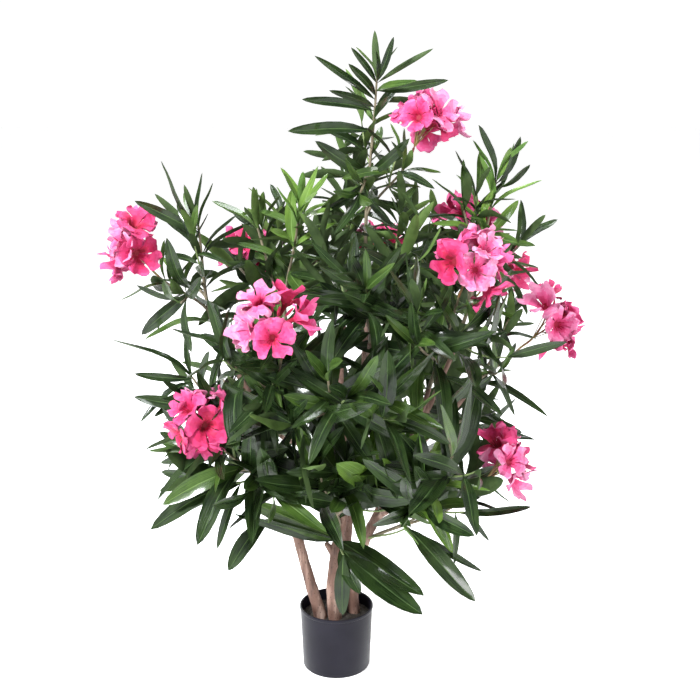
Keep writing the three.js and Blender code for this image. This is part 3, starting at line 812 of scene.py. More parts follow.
def wooden_limb(name):
    """One stem with the boughs that fork from it."""
    bm = bmesh.new()
    limb_tube(bm, LIMBS["stem_" + name], STEMS[name]["radii"], STEM_SIDES, (0.16, 0.07), KNOTS[name], True)
    if name == "middle":
        start, end = LIMBS["stem_middle"].raw(STUB["at"]), metres(STUB["tip"])
        stub = Shoot(start, start.lerp(end, 0.3), start.lerp(end, 0.7), end)
        limb_tube(bm, stub, STUB["radii"], STUB_SIDES, (0.2, 0.2))
    boughs = [b for b, (parent, _, _) in BOUGHS.items() if parent == name]
    for bough in boughs:
        shoot = LIMBS["bough_" + bough]
        limb_tube(bm, shoot, BOUGH_RADII, BOUGH_SIDES, (0.45, 0.07), [BOUGH_KNOT])
    limb = object_from(bm, "wood_" + name, [BARK])
    smooth_mesh(limb.data, 40)
    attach(limb, "root")
    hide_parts("stem_" + name, *["bough_" + b for b in boughs])
    tell(limb)


for stem_name in STEMS:
    wooden_limb(stem_name)


# %% [markdown]
# ## Pot and cement
#
# A nursery pot is moulded from thin black plastic: a plain taper, a foot with a small radius, and a rim that
# turns out a little. Anything round comes easiest from a profile that is spun about the axis. The cement that
# holds the stems is spun too, and then its top is roughened by noise, because it was poured and never
# smoothed.

# %% Spinning a profile
def spun(profile, sides):
    """A closed surface of revolution from (radius, height) in mm that starts and ends on the axis."""
    bm = bmesh.new()
    rings = []
    for radius, height in profile:
        if radius == 0:
            rings.append([bm.verts.new((0, 0, height * MM))])
            continue
        angles = [math.tau * s / sides for s in range(sides)]
        circle = [(radius * MM * math.cos(a), radius * MM * math.sin(a), height * MM) for a in angles]
        rings.append([bm.verts.new(point) for point in circle])
    for low, high in zip(rings, rings[1:]):
        if len(low) == 1:
            for here, after in zip(high, high[1:] + high[:1]):
                bm.faces.new((low[0], after, here))
        elif len(high) == 1:
            for here, after in zip(low, low[1:] + low[:1]):
                bm.faces.new((here, after, high[0]))
        else:
            ring_faces(bm, low, high)
    return bm


POT_PROFILE = [
    (0, 0.8), (40, 0.8), (44, 0), (61.6, 0), (63.4, 0.6), (64.6, 1.8), (65.1, 3.6), (66.6, 40), (68.2, 80),
    (69.7, 118.6), (70.6, 119.4), (71, 120.4), (71, 123.6), (70.6, 124.6), (69.8, 125), (68.6, 125),
    (67.8, 124.4), (67.4, 123.4), (66.9, 110), (62.8, 6), (61.5, 4.6), (59.5, 4), (0, 4),
]
POT_SIDES = 96
pot = object_from(spun(POT_PROFILE, POT_SIDES), "pot_shell", [POT_PLASTIC])
smooth_mesh(pot.data, 28)
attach(pot, "root")
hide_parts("pot")
tell(pot)

# %% Poured cement
ROUGH_FROM, HIGHEST_LUMP = 0.1025, 0.1092  # heights in metres


def cement():
    top = [(r, 103.2 + 5 * (1 - (r / 66.0) ** 2)) for r in np.linspace(65.5, 2.5, 28)]
    profile = [(0, 4.5), (62, 4.5), (66.3, 102), *[(float(r), float(z)) for r, z in top], (0, 108.1)]
    fill = object_from(spun(profile, POT_SIDES), "cement_fill", [CEMENT])
    for vertex in fill.data.vertices:
        p = vertex.co
        if p.z > ROUGH_FROM:
            lumps = noise.fractal(p * 70, 1.0, 2.0, 4) * 1.6
            vertex.co.z = min(p.z + lumps * MM, HIGHEST_LUMP)
    fill.data.shade_smooth()
    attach(fill, "root")
    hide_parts("pot_fill")
    tell(fill)


cement()

# %% [markdown]
# ## Growing the shoots
#
# First the rule decides where every leaf goes, without making any geometry: each leaf is a foot, a direction,
# the way its upper side faces, a length, a width and which of a few bent shapes it takes. The twigs are noted
# as lines of points with a radius. Keeping the plan apart from the making means that the plan can be counted
# and changed in a moment.

# %% Sizes of leaves and whorls
LEAF_LOW, LEAF_TOP = 0.174, 0.134  # length of a leaf at the foot of a shoot and at its tip
LEAF_WIDTH = 0.2  # of its length
WHORL_GAP = 0.056
PITCH_LOW, PITCH_TOP = 72, 30
LOWEST_LEAF = 0.318  # only big leaves, which are placed one by one, hang lower
SHOWN = 0.45  # how far the leaves' upper sides are turned to face away from the plant
DROOPS = [-0.03, 0.06, 0.14, 0.22, 0.32, 0.44, 0.85]  # how far each leaf shape's tip hangs, of its length
ARCHING = 4  # from this shape on, a placed leaf lies level and arches over
TWIG_RADII = (3.9, 2.0)
SPARSE = 2  # twigs that are thinned more than this carry no side shoots
DENSE = 1.2  # those that are thinned less may carry two
HEAD_ROOM = 0.036  # how far leaves keep from the line of sight to a head's centre
SIGHT_FROM, SIGHT_TO = -0.015, 0.25  # the stretch of that line, from the centre towards the eye
EYE_AWAY, EYE_HEIGHT = 2, 1.15  # where someone who looks at the front or at the back has their eyes
REAR = 0.05  # heads with more y than this are seen from behind
POT_REACH, POT_TOP = 0.078, 0.133  # leaves keep out of this drum round the pot
SLACK, TOP_SLACK = 0.02, 0.004  # how far a leaf's tip may leave the plant's own box, sideways and upwards
LEAF_SEED, HEAD_SEED = 977, 4001
TURN_SPREAD, PITCH_SPREAD, ROLL_SPREAD = 44, 34, 60  # how leaves differ from the rule, in degrees
DROOP_SPREAD = 0.24
leaves = {tone: [] for tone in LEAF_TONES}
twigs = {"wood": [], "green": []}


# %% The plan of one shoot
def about(chances, spread):
    """A chance difference from the rule, as often less as more."""
    return (next(chances) - 0.5) * spread


def rod(shoot, radii, points=9):
    """A shoot as a line of points with a radius at each."""
    last = points - 1
    return [(shoot.at(i / last), radii[0] + (radii[1] - radii[0]) * i / last) for i in range(points)]


def in_pot(point):
    return point.z < POT_TOP and math.hypot(point.x, point.y) < POT_REACH


HOLLOWS = [  # left, right, bottom and top of the gaps in the crown's outline, in mm
    (-370, -266, 682, 732), (-330, -240, 604, 652), (300, 420, 548, 624), (226, 400, 0, 350)]
UNDER = {"top": 0.345, "middle": 0.005, "half": 0.13, "back": 0.03}  # the space before the stems, in metres


def bare(point):
    """Under the crown's front, where nothing hides the stems, or in a gap of the crown's outline."""
    if point.z < UNDER["top"] and abs(point.x - UNDER["middle"]) < UNDER["half"] and point.y < UNDER["back"]:
        return True
    x, z = point.x / MM, point.z / MM
    return any(left < x < right and bottom < z < top for left, right, bottom, top in HOLLOWS)


def before_a_head(point):
    """Whether a point would hide a head of blossom from someone who stands on its side of the plant."""
    for centre in map(metres, HEAD_CENTRES):
        eye = Vector((0, math.copysign(EYE_AWAY, centre.y - REAR), EYE_HEIGHT))
        sight = (eye - centre).normalized()
        away = point - centre
        depth = away.dot(sight)
        if SIGHT_FROM < depth < SIGHT_TO and (away - sight * depth).length < HEAD_ROOM:
            return True
    return False


def outside(tip):
    """Whether a tip leaves the plant's own box by more than the slack."""
    low, high = CAD_BOX
    if tip.z > high[2] + TOP_SLACK:
        return True
    return any(tip[i] < low[i] - SLACK or tip[i] > high[i] + SLACK for i in (0, 1))


def plan_leaf(foot, axis, turn, pitch, length, breadth, droop, roll, tone):
    level = Vector((0, 0, 1)).cross(axis).normalized()
    outward = turned(turned(axis, level, pitch), axis, turn)
    side = outward.cross(axis).normalized()
    middle = foot + outward * length * 0.5
    shown = side.cross(outward).normalized() + Vector((middle.x, middle.y, 0)).normalized() * SHOWN
    face = turned((shown - outward * shown.dot(outward)).normalized(), outward, roll)
    while outside(foot + outward * length):
        length *= 0.9
    tip = foot + outward * length - Vector((0, 0, droop * length))
    if tip.z < LOWEST_LEAF or in_pot(tip) or in_pot(foot.lerp(tip, 0.5)):
        return
    if bare(tip) or bare(foot.lerp(tip, 0.7)):
        return
    if any(before_a_head(foot.lerp(tip, share)) for share in (0.3, 0.5, 0.7, 0.85, 1)):
        return
    shape = min(range(len(DROOPS)), key=lambda i: abs(DROOPS[i] - droop))
    leaves[tone].append((foot, outward, face, length, breadth, shape))


def plan_long_leaf(foot, tip, breadth, count, shape=1):
    """A leaf between two named points, with its upper side turned outwards, or upwards if it arches."""
    way = (tip - foot).normalized()
    up = Vector((tip.x * 0.5, tip.y + math.copysign(0.12, tip.y), 0)).normalized()
    up.z += 1.6 if shape >= ARCHING else 0.15 + 0.15 * (count % 3)
    up = (up - way * up.dot(way)).normalized()
    fall = DROOPS[shape] - DROOPS[1]
    outward, face = (way + up * fall).normalized(), (up - way * fall).normalized()
    length = (tip - foot).length / math.hypot(1, fall)
    tone = "fresh" if count % 7 == 5 else "dark"
    leaves[tone].append((foot, outward, face, length, LEAF_WIDTH * breadth, shape))


def tone_of(young, share, height, chance):
    """Young shoots are pale, fresher leaves are commoner at the tips of shoots, where they are new growth,
    and the lighter green is commoner high up as painted light from above.
    """
    if young:
        return "young" if share > 0.45 else "fresh"
    # The share that rises with height is painted light: the top of the crown is lighter, as if lit from
    # above.
    fresh = 0.12 + 0.2 * (share > 0.8) + 0.25 * min(1, max(0, (height - 0.7) / 0.3))
    return "fresh" if chance < fresh else "dark"


def stature(height):
    """Leaves are full size low in the crown and smaller towards its top."""
    return 1 - 0.3 * min(1, max(0, (height - 0.48) / 0.36))


def plan_whorls(shoot, spec, first, last, gap, scale, chances):
    scale *= stature(shoot.at(1).z)
    count = max(2, round((last - first) * shoot.length / (gap * stature(shoot.at(1).z))))
    turn0 = next(chances) * 360
    pitch_top = 58 if spec["head"] else PITCH_TOP
    for k in range(count + 1):
        share = k / count
        along = first + (last - first) * share
        foot_height = shoot.at(along).z
        for i in range(3):
            turn = turn0 + 120 * (i + k / 2) + about(chances, TURN_SPREAD)
            pitch = PITCH_LOW + (pitch_top - PITCH_LOW) * share**1.4 + about(chances, PITCH_SPREAD)
            length = spec["size"] * (LEAF_LOW + (LEAF_TOP - LEAF_LOW) * share)
            length *= (0.8 + 0.34 * next(chances)) * scale
            droop = 0.05 + 0.17 * (1 - share) + spec["hang"] + about(chances, DROOP_SPREAD)
            breadth = LEAF_WIDTH * (0.5 * stature(foot_height) + 0.5 - 0.14 * share + 0.26 * next(chances))
            foot = shoot.at(max(0.0, along - i * 0.002 / shoot.length))
            tone = tone_of(spec["young"], share, foot_height, next(chances))
            roll = about(chances, ROLL_SPREAD)
            plan_leaf(foot, shoot.heading(along), turn, pitch, length, breadth, droop, roll, tone)


# %% The plan of one mass
def main_shoots(limb, at, specs):
    end = 1 if at is None else at
    heading = LIMBS[limb].slope(end)
    start = LIMBS[limb].raw(end)
    first_tip = metres(specs[0]["to"])
    if at is not None:
        heading = heading.lerp((first_tip - start).normalized(), 0.85).normalized()
    main = rising(start, heading, first_tip)
    shoots = [main]
    for i, spec in enumerate(specs[1:], 1):
        fork = 0.12 + 0.12 * i
        tip = metres(spec["to"])
        start = main.at(fork)
        away = main.heading(fork).lerp((tip - start).normalized(), 0.6).normalized()
        shoots.append(rising(start, away, tip))
    return shoots


def side_shoot(parent, along, turn, length):
    """A finer twig that leaves its parent sideways and turns up."""
    start, axis = parent.at(along), parent.heading(along)
    level = Vector((0, 0, 1)).cross(axis).normalized()
    away = turned(turned(axis, level, 48), axis, turn)
    tip = start + (away * 0.75 + axis * 0.45 + Vector((0, 0, 0.15))).normalized() * length
    return rising(start, away, tip)


FINE = {"head": None, "hang": 0.0}
shoots_of = {}
for index, (name, specs) in enumerate(MASSES.items()):
    chances = seeded(LEAF_SEED * (index + 1))
    shoots_of[name] = main_shoots(*FOOTING.get(name, ("bough_" + name, None)), specs)
    for i, (shoot, spec) in enumerate(zip(shoots_of[name], specs)):
        radii = TWIG_RADII if i == 0 else (TWIG_RADII[0] * 0.8, TWIG_RADII[1])
        twigs["wood"].append(rod(shoot, radii))
        first, last = spec["bare"] if i else spec["bare"] - 0.12, 0.86 if spec["head"] else 0.995
        plan_whorls(shoot, spec, first, last, WHORL_GAP * spec["thin"], 1.0, chances)
        if spec["thin"] > SPARSE:
            continue
        two = spec["thin"] < DENSE and next(chances) < 0.5
        for along in (0.4, 0.66) if two else (0.5,):
            turn, length = next(chances) * 360, 0.06 + 0.05 * next(chances)
            fine = side_shoot(shoot, along + 0.1 * next(chances), turn, length)
            twigs["green"].append(rod(fine, (2.1, 1.3), 6))
            growth = {**FINE, "size": spec["size"], "young": spec["young"]}
            plan_whorls(fine, growth, 0.35, 0.98, 0.03, 0.88, chances)
for name, big_leaves in EDGE_LEAVES.items():
    for count, (along, leaf_tip, breadth, *shape) in enumerate(big_leaves):
        plan_long_leaf(shoots_of[name][0].at(along), metres(leaf_tip), breadth * EDGE_SLIM, count, *shape)
for limb, at, end, big_leaves in LOW_SHOOTS:
    start, tip = LIMBS[limb].raw(at), metres(end)
    low = rising(start, (tip - start).normalized(), tip)
    twigs["green"].append(rod(low, (2.6, 1.8)))
    for count, (along, leaf_tip, breadth, *shape) in enumerate(big_leaves):
        plan_long_leaf(low.at(along), metres(leaf_tip), breadth, count, *shape)
print({tone: len(plan) for tone, plan in leaves.items()}, "leaves")
print(sum(len(lines) for lines in twigs.values()), "twigs")

# %% [markdown]
# ## Twigs by Geometry Nodes
#
# A twig is a thin round rod along a line, and so is a flower stalk. Geometry Nodes can skin any number of
# lines at once: the lines come in as loose edges whose points carry a radius, they become curves, and a small
# circle is swept along them. The sides of the circle are a named input, so that the twigs can be made finer
# or coarser without touching the plan.

# %% Building a node tree by name
class Weave:
    """A Geometry Nodes tree under construction, with named inputs."""

    def __init__(self, name, inputs):
        self.tree = bpy.data.node_groups.new(name, "GeometryNodeTree")
        self.tree.interface.new_socket("Geometry", in_out="INPUT", socket_type="NodeSocketGeometry")
        self.keys = {}
        for label, kind in inputs.items():
            made = self.tree.interface.new_socket(label, in_out="INPUT", socket_type="NodeSocket" + kind)
            self.keys[label] = made.identifier
        self.tree.interface.new_socket("Geometry", in_out="OUTPUT", socket_type="NodeSocketGeometry")
        self.start = self.tree.nodes.new("NodeGroupInput")

    def node(self, kind, settings, sockets):
        made = self.tree.nodes.new(kind)
        for name, value in settings.items():
            setattr(made, name, value)
        for name, value in sockets.items():
            if isinstance(value, bpy.types.NodeSocket):
                self.tree.links.new(value, made.inputs[name])
            else:
                made.inputs[name].default_value = value
        return made.outputs[0]

    def given(self, label):
        return self.start.outputs[label]

    def attribute(self, name, data_type):
        return self.node("GeometryNodeInputNamedAttribute", {"data_type": data_type}, {"Name": name})

    def finish(self, geometry):
        end = self.tree.nodes.new("NodeGroupOutput")
        self.tree.links.new(geometry, end.inputs[0])
        return self

    def run(self, piece, name, values):
        """Runs the tree on a piece and returns the result as a plain mesh object."""
        modifier = piece.modifiers.new(name, "NODES")
        modifier.node_group = self.tree
        for label, value in values.items():
            modifier[self.keys[label]] = value
        return applied(piece, name)


# %% Twigs
def rod_tree():
    w = Weave("rods_along_lines", {"Sides": "Int", "Thickness": "Float", "Finish": "Material"})
    curve = w.node("GeometryNodeMeshToCurve", {}, {"Mesh": w.given("Geometry")})
    factors = {0: w.attribute("radius", "FLOAT"), 1: w.given("Thickness")}
    thick = w.node("ShaderNodeMath", {"operation": "MULTIPLY"}, factors)
    ring = w.node("GeometryNodeCurvePrimitiveCircle", {}, {"Resolution": w.given("Sides"), "Radius": 1.0})
    sweep = {"Curve": curve, "Profile Curve": ring, "Scale": thick, "Fill Caps": True}
    skin = w.node("GeometryNodeCurveToMesh", {}, sweep)
    real = w.node("GeometryNodeRealizeInstances", {}, {"Geometry": skin})
    last = {"Geometry": real, "Material": w.given("Finish")}
    return w.finish(w.node("GeometryNodeSetMaterial", {}, last))


def lines_object(name, lines):
    """Loose edges through each line's points, with the radius in mm noted on the points."""
    points, edges, radii = [], [], []
    for line in lines:
        first = len(points)
        points += [tuple(p) for p, _ in line]
        radii += [r for _, r in line]
        edges += [(first + i, first + i + 1) for i in range(len(line) - 1)]
    mesh = bpy.data.meshes.new(name)
    mesh.from_pydata(points, edges, [])
    mesh.attributes.new("radius", "FLOAT", "POINT").data.foreach_set("value", radii)
    return object_of(mesh, name)


RODS = rod_tree()
FOLIAGE_NODES = [n for n in NODES if n.startswith("foliage_")]
BLOSSOM_NODES = [n for n in NODES if n.startswith("blossom_")]


def rods(name, lines, finish, sides=6):
    made = RODS.run(lines_object(name, lines), name, {"Sides": sides, "Thickness": MM, "Finish": finish})
    made.data.shade_smooth()
    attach(made, "root")
    return made


for kind, finish in (("wood", TWIG_WOOD), ("green", TWIG_GREEN)):
    made = rods("twigs_" + kind, twigs[kind], finish)
    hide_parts(*FOLIAGE_NODES)
    tell(made)


# %% [markdown]
# ## Leaves by Geometry Nodes
#
# Each leaf is a long pointed blade about a fifth as wide as it is long, folded a little along a pale midrib,
# with a dark upper side and a dull back. Seven blades that hang by different amounts are enough: each planned
# leaf picks one, and is turned, stretched and placed by Instance on Points. The blade is closed, because a
# sheet with no thickness would show through from behind, and it has only a few dozen faces, because it is
# repeated so often.

# %% One blade
STATIONS = [0, 0.04, 0.12, 0.25, 0.4, 0.56, 0.71, 0.84, 0.94, 1]
WIDTHS = [0.1, 0.12, 0.42, 0.77, 0.97, 1, 0.93, 0.72, 0.42, 0.03]  # at each station, of the widest
TOP, BACK, RIB = 0, 1, 2


def blade(name, droop, curl, twist):
    """A closed leaf of unit length along +X whose upper side faces +Z. Width 1 is its full width."""
    points, faces, sides = [], [], []
    for x, w in zip(STATIONS, WIDTHS):
        arch = 0.05 * math.sin(math.pi * min(1, x * 1.3)) - droop * x**1.9
        sway = curl * math.sin(math.pi * x * 0.9)
        rib = 0.036 * (1 - 0.7 * x) * min(1, w * 3)
        turn = math.radians(twist) * (x - 0.1)
        for y, z in ((-0.5 * w, 0.034 * w), (-rib, 0), (rib, 0), (0.5 * w, 0.034 * w), (0, -0.008)):
            lift = y * LEAF_WIDTH * math.sin(turn)
            points.append((x, sway + y * math.cos(turn), arch + z + lift))
    for s in range(len(STATIONS) - 1):
        a, b = 5 * s, 5 * s + 5
        faces += [(a, b, b + 1, a + 1), (a + 1, b + 1, b + 2, a + 2), (a + 2, b + 2, b + 3, a + 3)]
        faces += [(a, a + 4, b + 4, b), (a + 4, a + 3, b + 3, b + 4)]
        sides += [TOP, RIB, TOP, BACK, BACK]
    end = 5 * (len(STATIONS) - 1)
    faces += [(0, 1, 2, 3, 4), (end + 4, end + 3, end + 2, end + 1, end)]
    sides += [BACK, BACK]
    mesh = bpy.data.meshes.new(name)
    mesh.from_pydata(points, [], faces)
    turn_outwards(mesh)
    mesh.attributes.new("side", "INT", "FACE").data.foreach_set("value", sides)
    across = (0.0, 0.45, 0.55, 1.0, 0.5)
    chart = mesh.uv_layers.new(name="leaf")
    for loop in mesh.loops:
        v = loop.vertex_index
        chart.data[loop.index].uv = (across[v % 5], STATIONS[v // 5])
    smooth_mesh(mesh, 55)
    return bpy.data.objects.new(name, mesh)


def shelf(name, pieces):
    """A collection that isn't in the scene, to pick shapes from."""
    made = bpy.data.collections.new(name)
    for piece in pieces:
        made.objects.link(piece)
    return made


CURLS = (0.12, -0.1, 0.16, -0.2, 0.1, -0.14, 0.06)  # sideways, of the length
TWISTS = (18, -30, 34, -14, 40, -24, 30)  # degrees
BENDS = zip(DROOPS, CURLS, TWISTS)
BLADES = shelf("blades", [blade(f"blade_{i}", *bend) for i, bend in enumerate(BENDS)])


# %% Planting shapes on points
def planting_tree(name, finishes):
    """Picks a shape from a shelf for each point, turns and sizes it, and gives each side its finish."""
    inputs = {"Shapes": "Collection", "Sway": "Float", "Seed": "Int"}
    w = Weave(name, {**inputs, **{label: "Material" for label in finishes}})
    from_shelf = {"Collection": w.given("Shapes"), "Separate Children": True, "Reset Children": True}
    shapes = w.node("GeometryNodeCollectionInfo", {}, from_shelf)
    axes = {
        "Primary Axis": w.attribute("face", "FLOAT_VECTOR"),
        "Secondary Axis": w.attribute("direction", "FLOAT_VECTOR"),
    }
    upright = w.node("FunctionNodeAxesToRotation", {"primary_axis": "Z", "secondary_axis": "X"}, axes)
    down = w.node("ShaderNodeMath", {"operation": "MULTIPLY"}, {0: w.given("Sway"), 1: -1.0})
    low, high = (
        w.node("ShaderNodeCombineXYZ", {}, {"X": end, "Y": end, "Z": 0.0}) for end in (down, w.given("Sway"))
    )
    span = {"Min": low, "Max": high, "Seed": w.given("Seed")}
    swing = w.node("FunctionNodeRandomValue", {"data_type": "FLOAT_VECTOR"}, span)
    turns = {"Rotation": upright, "Rotate By": swing}
    planting = {
        "Points": w.given("Geometry"),
        "Instance": shapes,
        "Pick Instance": True,
        "Instance Index": w.attribute("shape", "INT"),
        "Rotation": w.node("FunctionNodeRotateRotation", {"rotation_space": "LOCAL"}, turns),
        "Scale": w.attribute("size", "FLOAT_VECTOR"),
    }
    planted = w.node("GeometryNodeInstanceOnPoints", {}, planting)
    geometry = w.node("GeometryNodeRealizeInstances", {}, {"Geometry": planted})
    for value, label in enumerate(finishes):
        equal = {"data_type": "INT", "operation": "EQUAL"}
        here = w.node("FunctionNodeCompare", equal, {2: w.attribute("side", "INT"), 3: value})
        given = {"Geometry": geometry, "Selection": here, "Material": w.given(label)}
        geometry = w.node("GeometryNodeSetMaterial", {}, given)
    return w.finish(geometry)


def points_object(name, plan):
    """Loose points that carry a direction, a facing, a size and a shape."""
    mesh = bpy.data.meshes.new(name)
    mesh.from_pydata([tuple(p[0]) for p in plan], [], [])
    for column, label in enumerate(("direction", "face", "size"), 1):
        values = np.array([tuple(p[column]) for p in plan], dtype=np.float32).ravel()
        mesh.attributes.new(label, "FLOAT_VECTOR", "POINT").data.foreach_set("vector", values)
    mesh.attributes.new("shape", "INT", "POINT").data.foreach_set("value", [p[4] for p in plan])
    return object_of(mesh, name)


LEAF_TREE = planting_tree("leaves_on_points", list(LEAF_TONES["dark"]))
for seed, (tone, finishes) in enumerate(LEAF_TONES.items(), 1):
    plan = [(p, d, f, (n, n * w, n), s) for p, d, f, n, w, s in leaves[tone]]
    name = "leaves_" + tone
    values = {"Shapes": BLADES, "Sway": 0.12, "Seed": seed, **finishes}
    made = LEAF_TREE.run(points_object(name, plan), name, values)
    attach(made, "root")
    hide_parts(*FOLIAGE_NODES)
    tell(made)


# %% [markdown]
# ## Blossom
#
# A bloom is a short tube that opens into five broad petals, each a little twisted and waved, and a head is
# seven of them on thin stalks from one point, with five closed buds between. The petals are dyed from a deep
# throat to a paler edge, with painted shade that deepens the throat and a painted highlight that pales the
# edge, so the bloom's faces are sorted into five zones from its middle outwards. Eight blooms, more and less
# open, are planted by the same kind of tree as the leaves, and the stalks are rods like the twigs.

# %% One bloom
RINGS = [0.12, 0.2, 0.3, 0.4, 0.5, 0.6, 0.7, 0.79, 0.88, 0.95, 1.0]  # distance from the axis, of the radius
SPREADS = [1, 1, 0.94, 0.87, 0.88, 0.94, 1.0, 1.02, 0.96, 0.79, 0.5]  # half a petal's angle, of 36 degrees
ZONE_ENDS = [0.17, 0.34, 0.6, 0.85]  # where each zone of the petal gives way to the next
ACROSS = 7  # points across a petal
PETAL_THICKNESS = 0.028
TUBE_SIDES = 10
NECK = 0.34  # the radius at which the funnel ends and the petals part
TUBE = [(0.13, -0.36), (0.09, -0.52), (0.05, -0.84)]  # radius and height of the narrow tube below the throat


def petal_bend(openness, wave, chances):
    """How one petal differs from its neighbours: its reach, tilt, twist, roll, place and depth of dye."""
    return {
        "reach": 0.9 + 0.18 * next(chances),
        "tilt": math.radians(openness + about(chances, 46)),
        "twist": 0.09 + about(chances, 0.5 * wave),
        "roll": 0.1 + 0.45 * next(chances),
        "swing": math.radians(about(chances, 24)),
        "ripple": wave * (0.06 + 0.06 * next(chances)),
        "dye": 0.2 * (next(chances) - 0.4),
        "phase": 6 * next(chances),
    }


def petal_point(r, share, spread, turn, bend):
    """A point of a petal: r from the axis, share from -1 to 1 across. One edge lies over the next petal."""
    free = max(0, r - NECK) * bend["reach"]
    cup = -0.52 * (1 - r / NECK) ** 0.8 if r < NECK else 0
    roll = bend["roll"] * max(0, r - 0.62) ** 1.2 * (1.5 - share * share)
    waves = math.sin(share * 4 + bend["phase"]) + 0.5 * math.sin(share * 8 + bend["phase"] * 3)
    ripple = bend["ripple"] * r * r * waves
    reach = min(r, NECK) + free * math.cos(bend["tilt"]) - roll * 0.3
    rise = cup + free * math.sin(bend["tilt"]) + bend["twist"] * share * max(0, r - 0.14) + ripple - roll
    angle = math.radians(36) * spread * share + turn + bend["swing"] * min(1, free * 3)
    reach *= 1 + 0.04 * r * r * math.sin(share * 5 + bend["phase"])
    return Vector((reach * math.cos(angle), reach * math.sin(angle), rise))


def zone_at(r, share, bend):
    """Dye runs out along the middle of a petal, and the edges stay paler. The deepest zone, at the throat,
    also holds painted shade, and the palest, at the edges, a painted highlight.
    """
    depth = r + 0.14 * abs(share) ** 1.5 - bend["dye"] + 0.05 * math.sin(share * 9 + bend["phase"] * 2)
    return sum(depth > end for end in ZONE_ENDS)


def bloom(name, openness, wave, seed):
    """Five closed petals round a throat, facing +Z, of unit radius, on a closed tube."""
    points, faces, zones = [], [], []
    across = [-1 + 2 * i / (ACROSS - 1) for i in range(ACROSS)]
    chances = seeded(seed)
    for petal in range(5):
        turn = math.radians(72 * petal)
        bend = petal_bend(openness, wave, chances)
        first = len(points)
        for layer in (0, -PETAL_THICKNESS):
            for r, spread in zip(RINGS, SPREADS):
                for share in across:
                    p = petal_point(r, share, spread, turn, bend)
                    p.z += layer * (0 if r in (RINGS[0], RINGS[-1]) else 1)
                    points.append(p)
        upper = lambda i, j: first + i * ACROSS + j
        lower = lambda i, j: upper(i, j) + len(RINGS) * ACROSS
        for i in range(len(RINGS) - 1):
            for j in range(ACROSS - 1):
                faces.append((upper(i, j), upper(i + 1, j), upper(i + 1, j + 1), upper(i, j + 1)))
                faces.append((lower(i, j), lower(i, j + 1), lower(i + 1, j + 1), lower(i + 1, j)))
                zones += [zone_at((RINGS[i] + RINGS[i + 1]) / 2, (across[j] + across[j + 1]) / 2, bend)] * 2
            for j, flip in ((0, False), (ACROSS - 1, True)):
                side = (upper(i, j), lower(i, j), lower(i + 1, j), upper(i + 1, j))
                faces.append(side[::-1] if flip else side)
                zones.append(zone_at(RINGS[i], 1, bend))
    mesh = bpy.data.meshes.new(name)
    mesh.from_pydata(points, [], faces)
    mesh.attributes.new("side", "INT", "FACE").data.foreach_set("value", zones)
    bm = bmesh.new()
    bm.from_mesh(mesh)
    bmesh.ops.remove_doubles(bm, verts=bm.verts, dist=1e-4)
    angles = [math.tau * k / TUBE_SIDES for k in range(TUBE_SIDES)]
    rings = [[bm.verts.new((r * math.cos(a), r * math.sin(a), z)) for a in angles] for r, z in TUBE]
    for low, high in zip(rings, rings[1:]):
        for k in range(TUBE_SIDES):
            bm.faces.new((low[k], low[k - 1], high[k - 1], high[k]))
    bm.faces.new(rings[0])
    bm.faces.new(rings[-1][::-1])
    bm.to_mesh(mesh)
    bm.free()
    turn_outwards(mesh)
    smooth_mesh(mesh, 60)
    return bpy.data.objects.new(name, mesh)


OPENINGS = [  # tilt in degrees, waviness
    (12, 1.0), (26, 1.2), (2, 1.2), (16, 1.5), (38, 1.0), (20, 1.3), (50, 1.1), (8, 1.5)]
BLOOMS = shelf("blooms", [bloom(f"bloom_{i}", *opening, 71 + i) for i, opening in enumerate(OPENINGS)])

# %% The plan of a head
BLOOM_RADIUS = 0.04
BUD_SHAPE = [(-0.004, 1.0), (0, 2.2), (0.006, 2.9), (0.013, 2.0), (0.018, 0.5)]  # along it in m, radius in mm
HEAD_REACH, SEAT = 0.038, 0.051  # from a head's centre back to its fork, and out to its blooms
blooms = {tone: [] for tone in PETAL_TONES}
buds, stalks, cups = [], [], []


def bloom_seats(chances):
    """Tilt and turn of each bloom in its head: one in the middle, five round it and one behind."""
    yield 16 + 16 * next(chances), 360 * next(chances)
    start = 360 * next(chances)
    for i in range(5):
        yield 62 + 22 * (next(chances) - 0.4), start + 72 * i + about(chances, 16)
    yield 100 + 15 * next(chances), start + 36 + 72 * int(5 * next(chances))


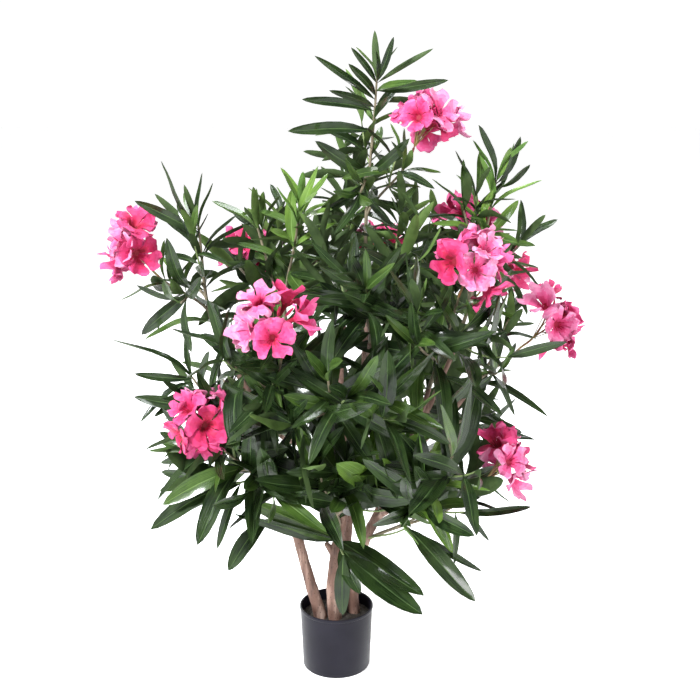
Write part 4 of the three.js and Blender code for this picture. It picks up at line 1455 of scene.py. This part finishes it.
def plan_head(shoot, centre, tall, chances):
    start, heading = shoot.at(1), shoot.heading(1)
    facing = (centre - start).normalized()
    fork = centre - facing * HEAD_REACH
    stalks.append(rod(rising(start, heading, fork), (2.2, 2.2), 6))
    across = facing.orthogonal().normalized()
    for n, (tilt, turn) in enumerate(bloom_seats(chances)):
        axis = turned(across, facing, turn)
        aim = turned(facing, axis, tilt)
        reach = aim * SEAT * (0.72 + 0.42 * next(chances))
        seat = centre + Vector((reach.x * (2 - tall), reach.y, reach.z * tall))
        radius = BLOOM_RADIUS * (0.86 + 0.2 * next(chances))
        spin = turned(aim.orthogonal().normalized(), aim, 360 * next(chances))
        luck = next(chances)
        tone = "deep" if luck < 0.3 else "pale" if luck < 0.58 else "bright"
        opening = int(next(chances) * (len(OPENINGS) - 0.01))
        blooms[tone].append((seat, spin, aim, (radius,) * 3, opening))
        base = seat - aim * radius * 0.8
        way = rising(fork + facing * 0.003 * n, (base - fork).lerp(facing, 0.02).normalized(), base)
        stalks.append([(way.at(i / 5), 1.0 + 0.25 * (i == 5)) for i in range(6)])
        cups.append([(base - aim * 0.007, 1.1), (base - aim * 0.002, 2.3), (base + aim * 0.004, 3.0)])
    for _ in range(5):
        aim = turned(turned(facing, across, 12 + 50 * next(chances)), facing, 360 * next(chances))
        seat = centre + aim * (0.018 + 0.02 * next(chances))
        buds.append([(seat + aim * out, radius) for out, radius in BUD_SHAPE])
        stalks.append([(fork + (seat - fork) * (i / 3), 0.8) for i in range(4)])


for index, (name, specs) in enumerate(MASSES.items()):
    chances = seeded(HEAD_SEED * (index + 3))
    for shoot, spec in zip(shoots_of[name], specs):
        if spec["head"]:
            plan_head(shoot, metres(spec["head"]), spec["tall"], chances)
print({tone: len(plan) for tone, plan in blooms.items()}, "blooms and", len(buds), "buds")

# %% Plant the blooms
BLOOM_TREE = planting_tree("blooms_on_points", PETAL_ZONES)


def blossom_piece(made):
    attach(made, "root")
    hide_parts(*BLOSSOM_NODES)
    tell(made)


for seed, (tone, finishes) in enumerate(PETAL_TONES.items(), 11):
    name = "petals_" + tone
    values = {"Shapes": BLOOMS, "Sway": 0.2, "Seed": seed, **finishes}
    blossom_piece(BLOOM_TREE.run(points_object(name, blooms[tone]), name, values))
blossom_piece(rods("flower_stalks", stalks, PEDICEL, 5))
blossom_piece(rods("calyxes", cups, CALYX, 7))
blossom_piece(rods("buds", buds, BUD, 8))

# %% [markdown]
# ## Clearing up and measuring
#
# The shelves held only patterns to copy, so they go. The plant's box is then measured again and printed next
# to the CAD's, because dressing a model must not change its size.

# %% Sizes
for collection in (BLADES, BLOOMS):
    for piece in list(collection.objects):
        bpy.data.objects.remove(piece)
    bpy.data.collections.remove(collection)
SEEN_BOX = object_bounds()
plain = lambda box: [[float(v) for v in corner] for corner in box]
{"cad": plain(CAD_BOX), "visual": plain(SEEN_BOX)}
print("CAD box", rounded(CAD_BOX), "visual box", rounded(SEEN_BOX))
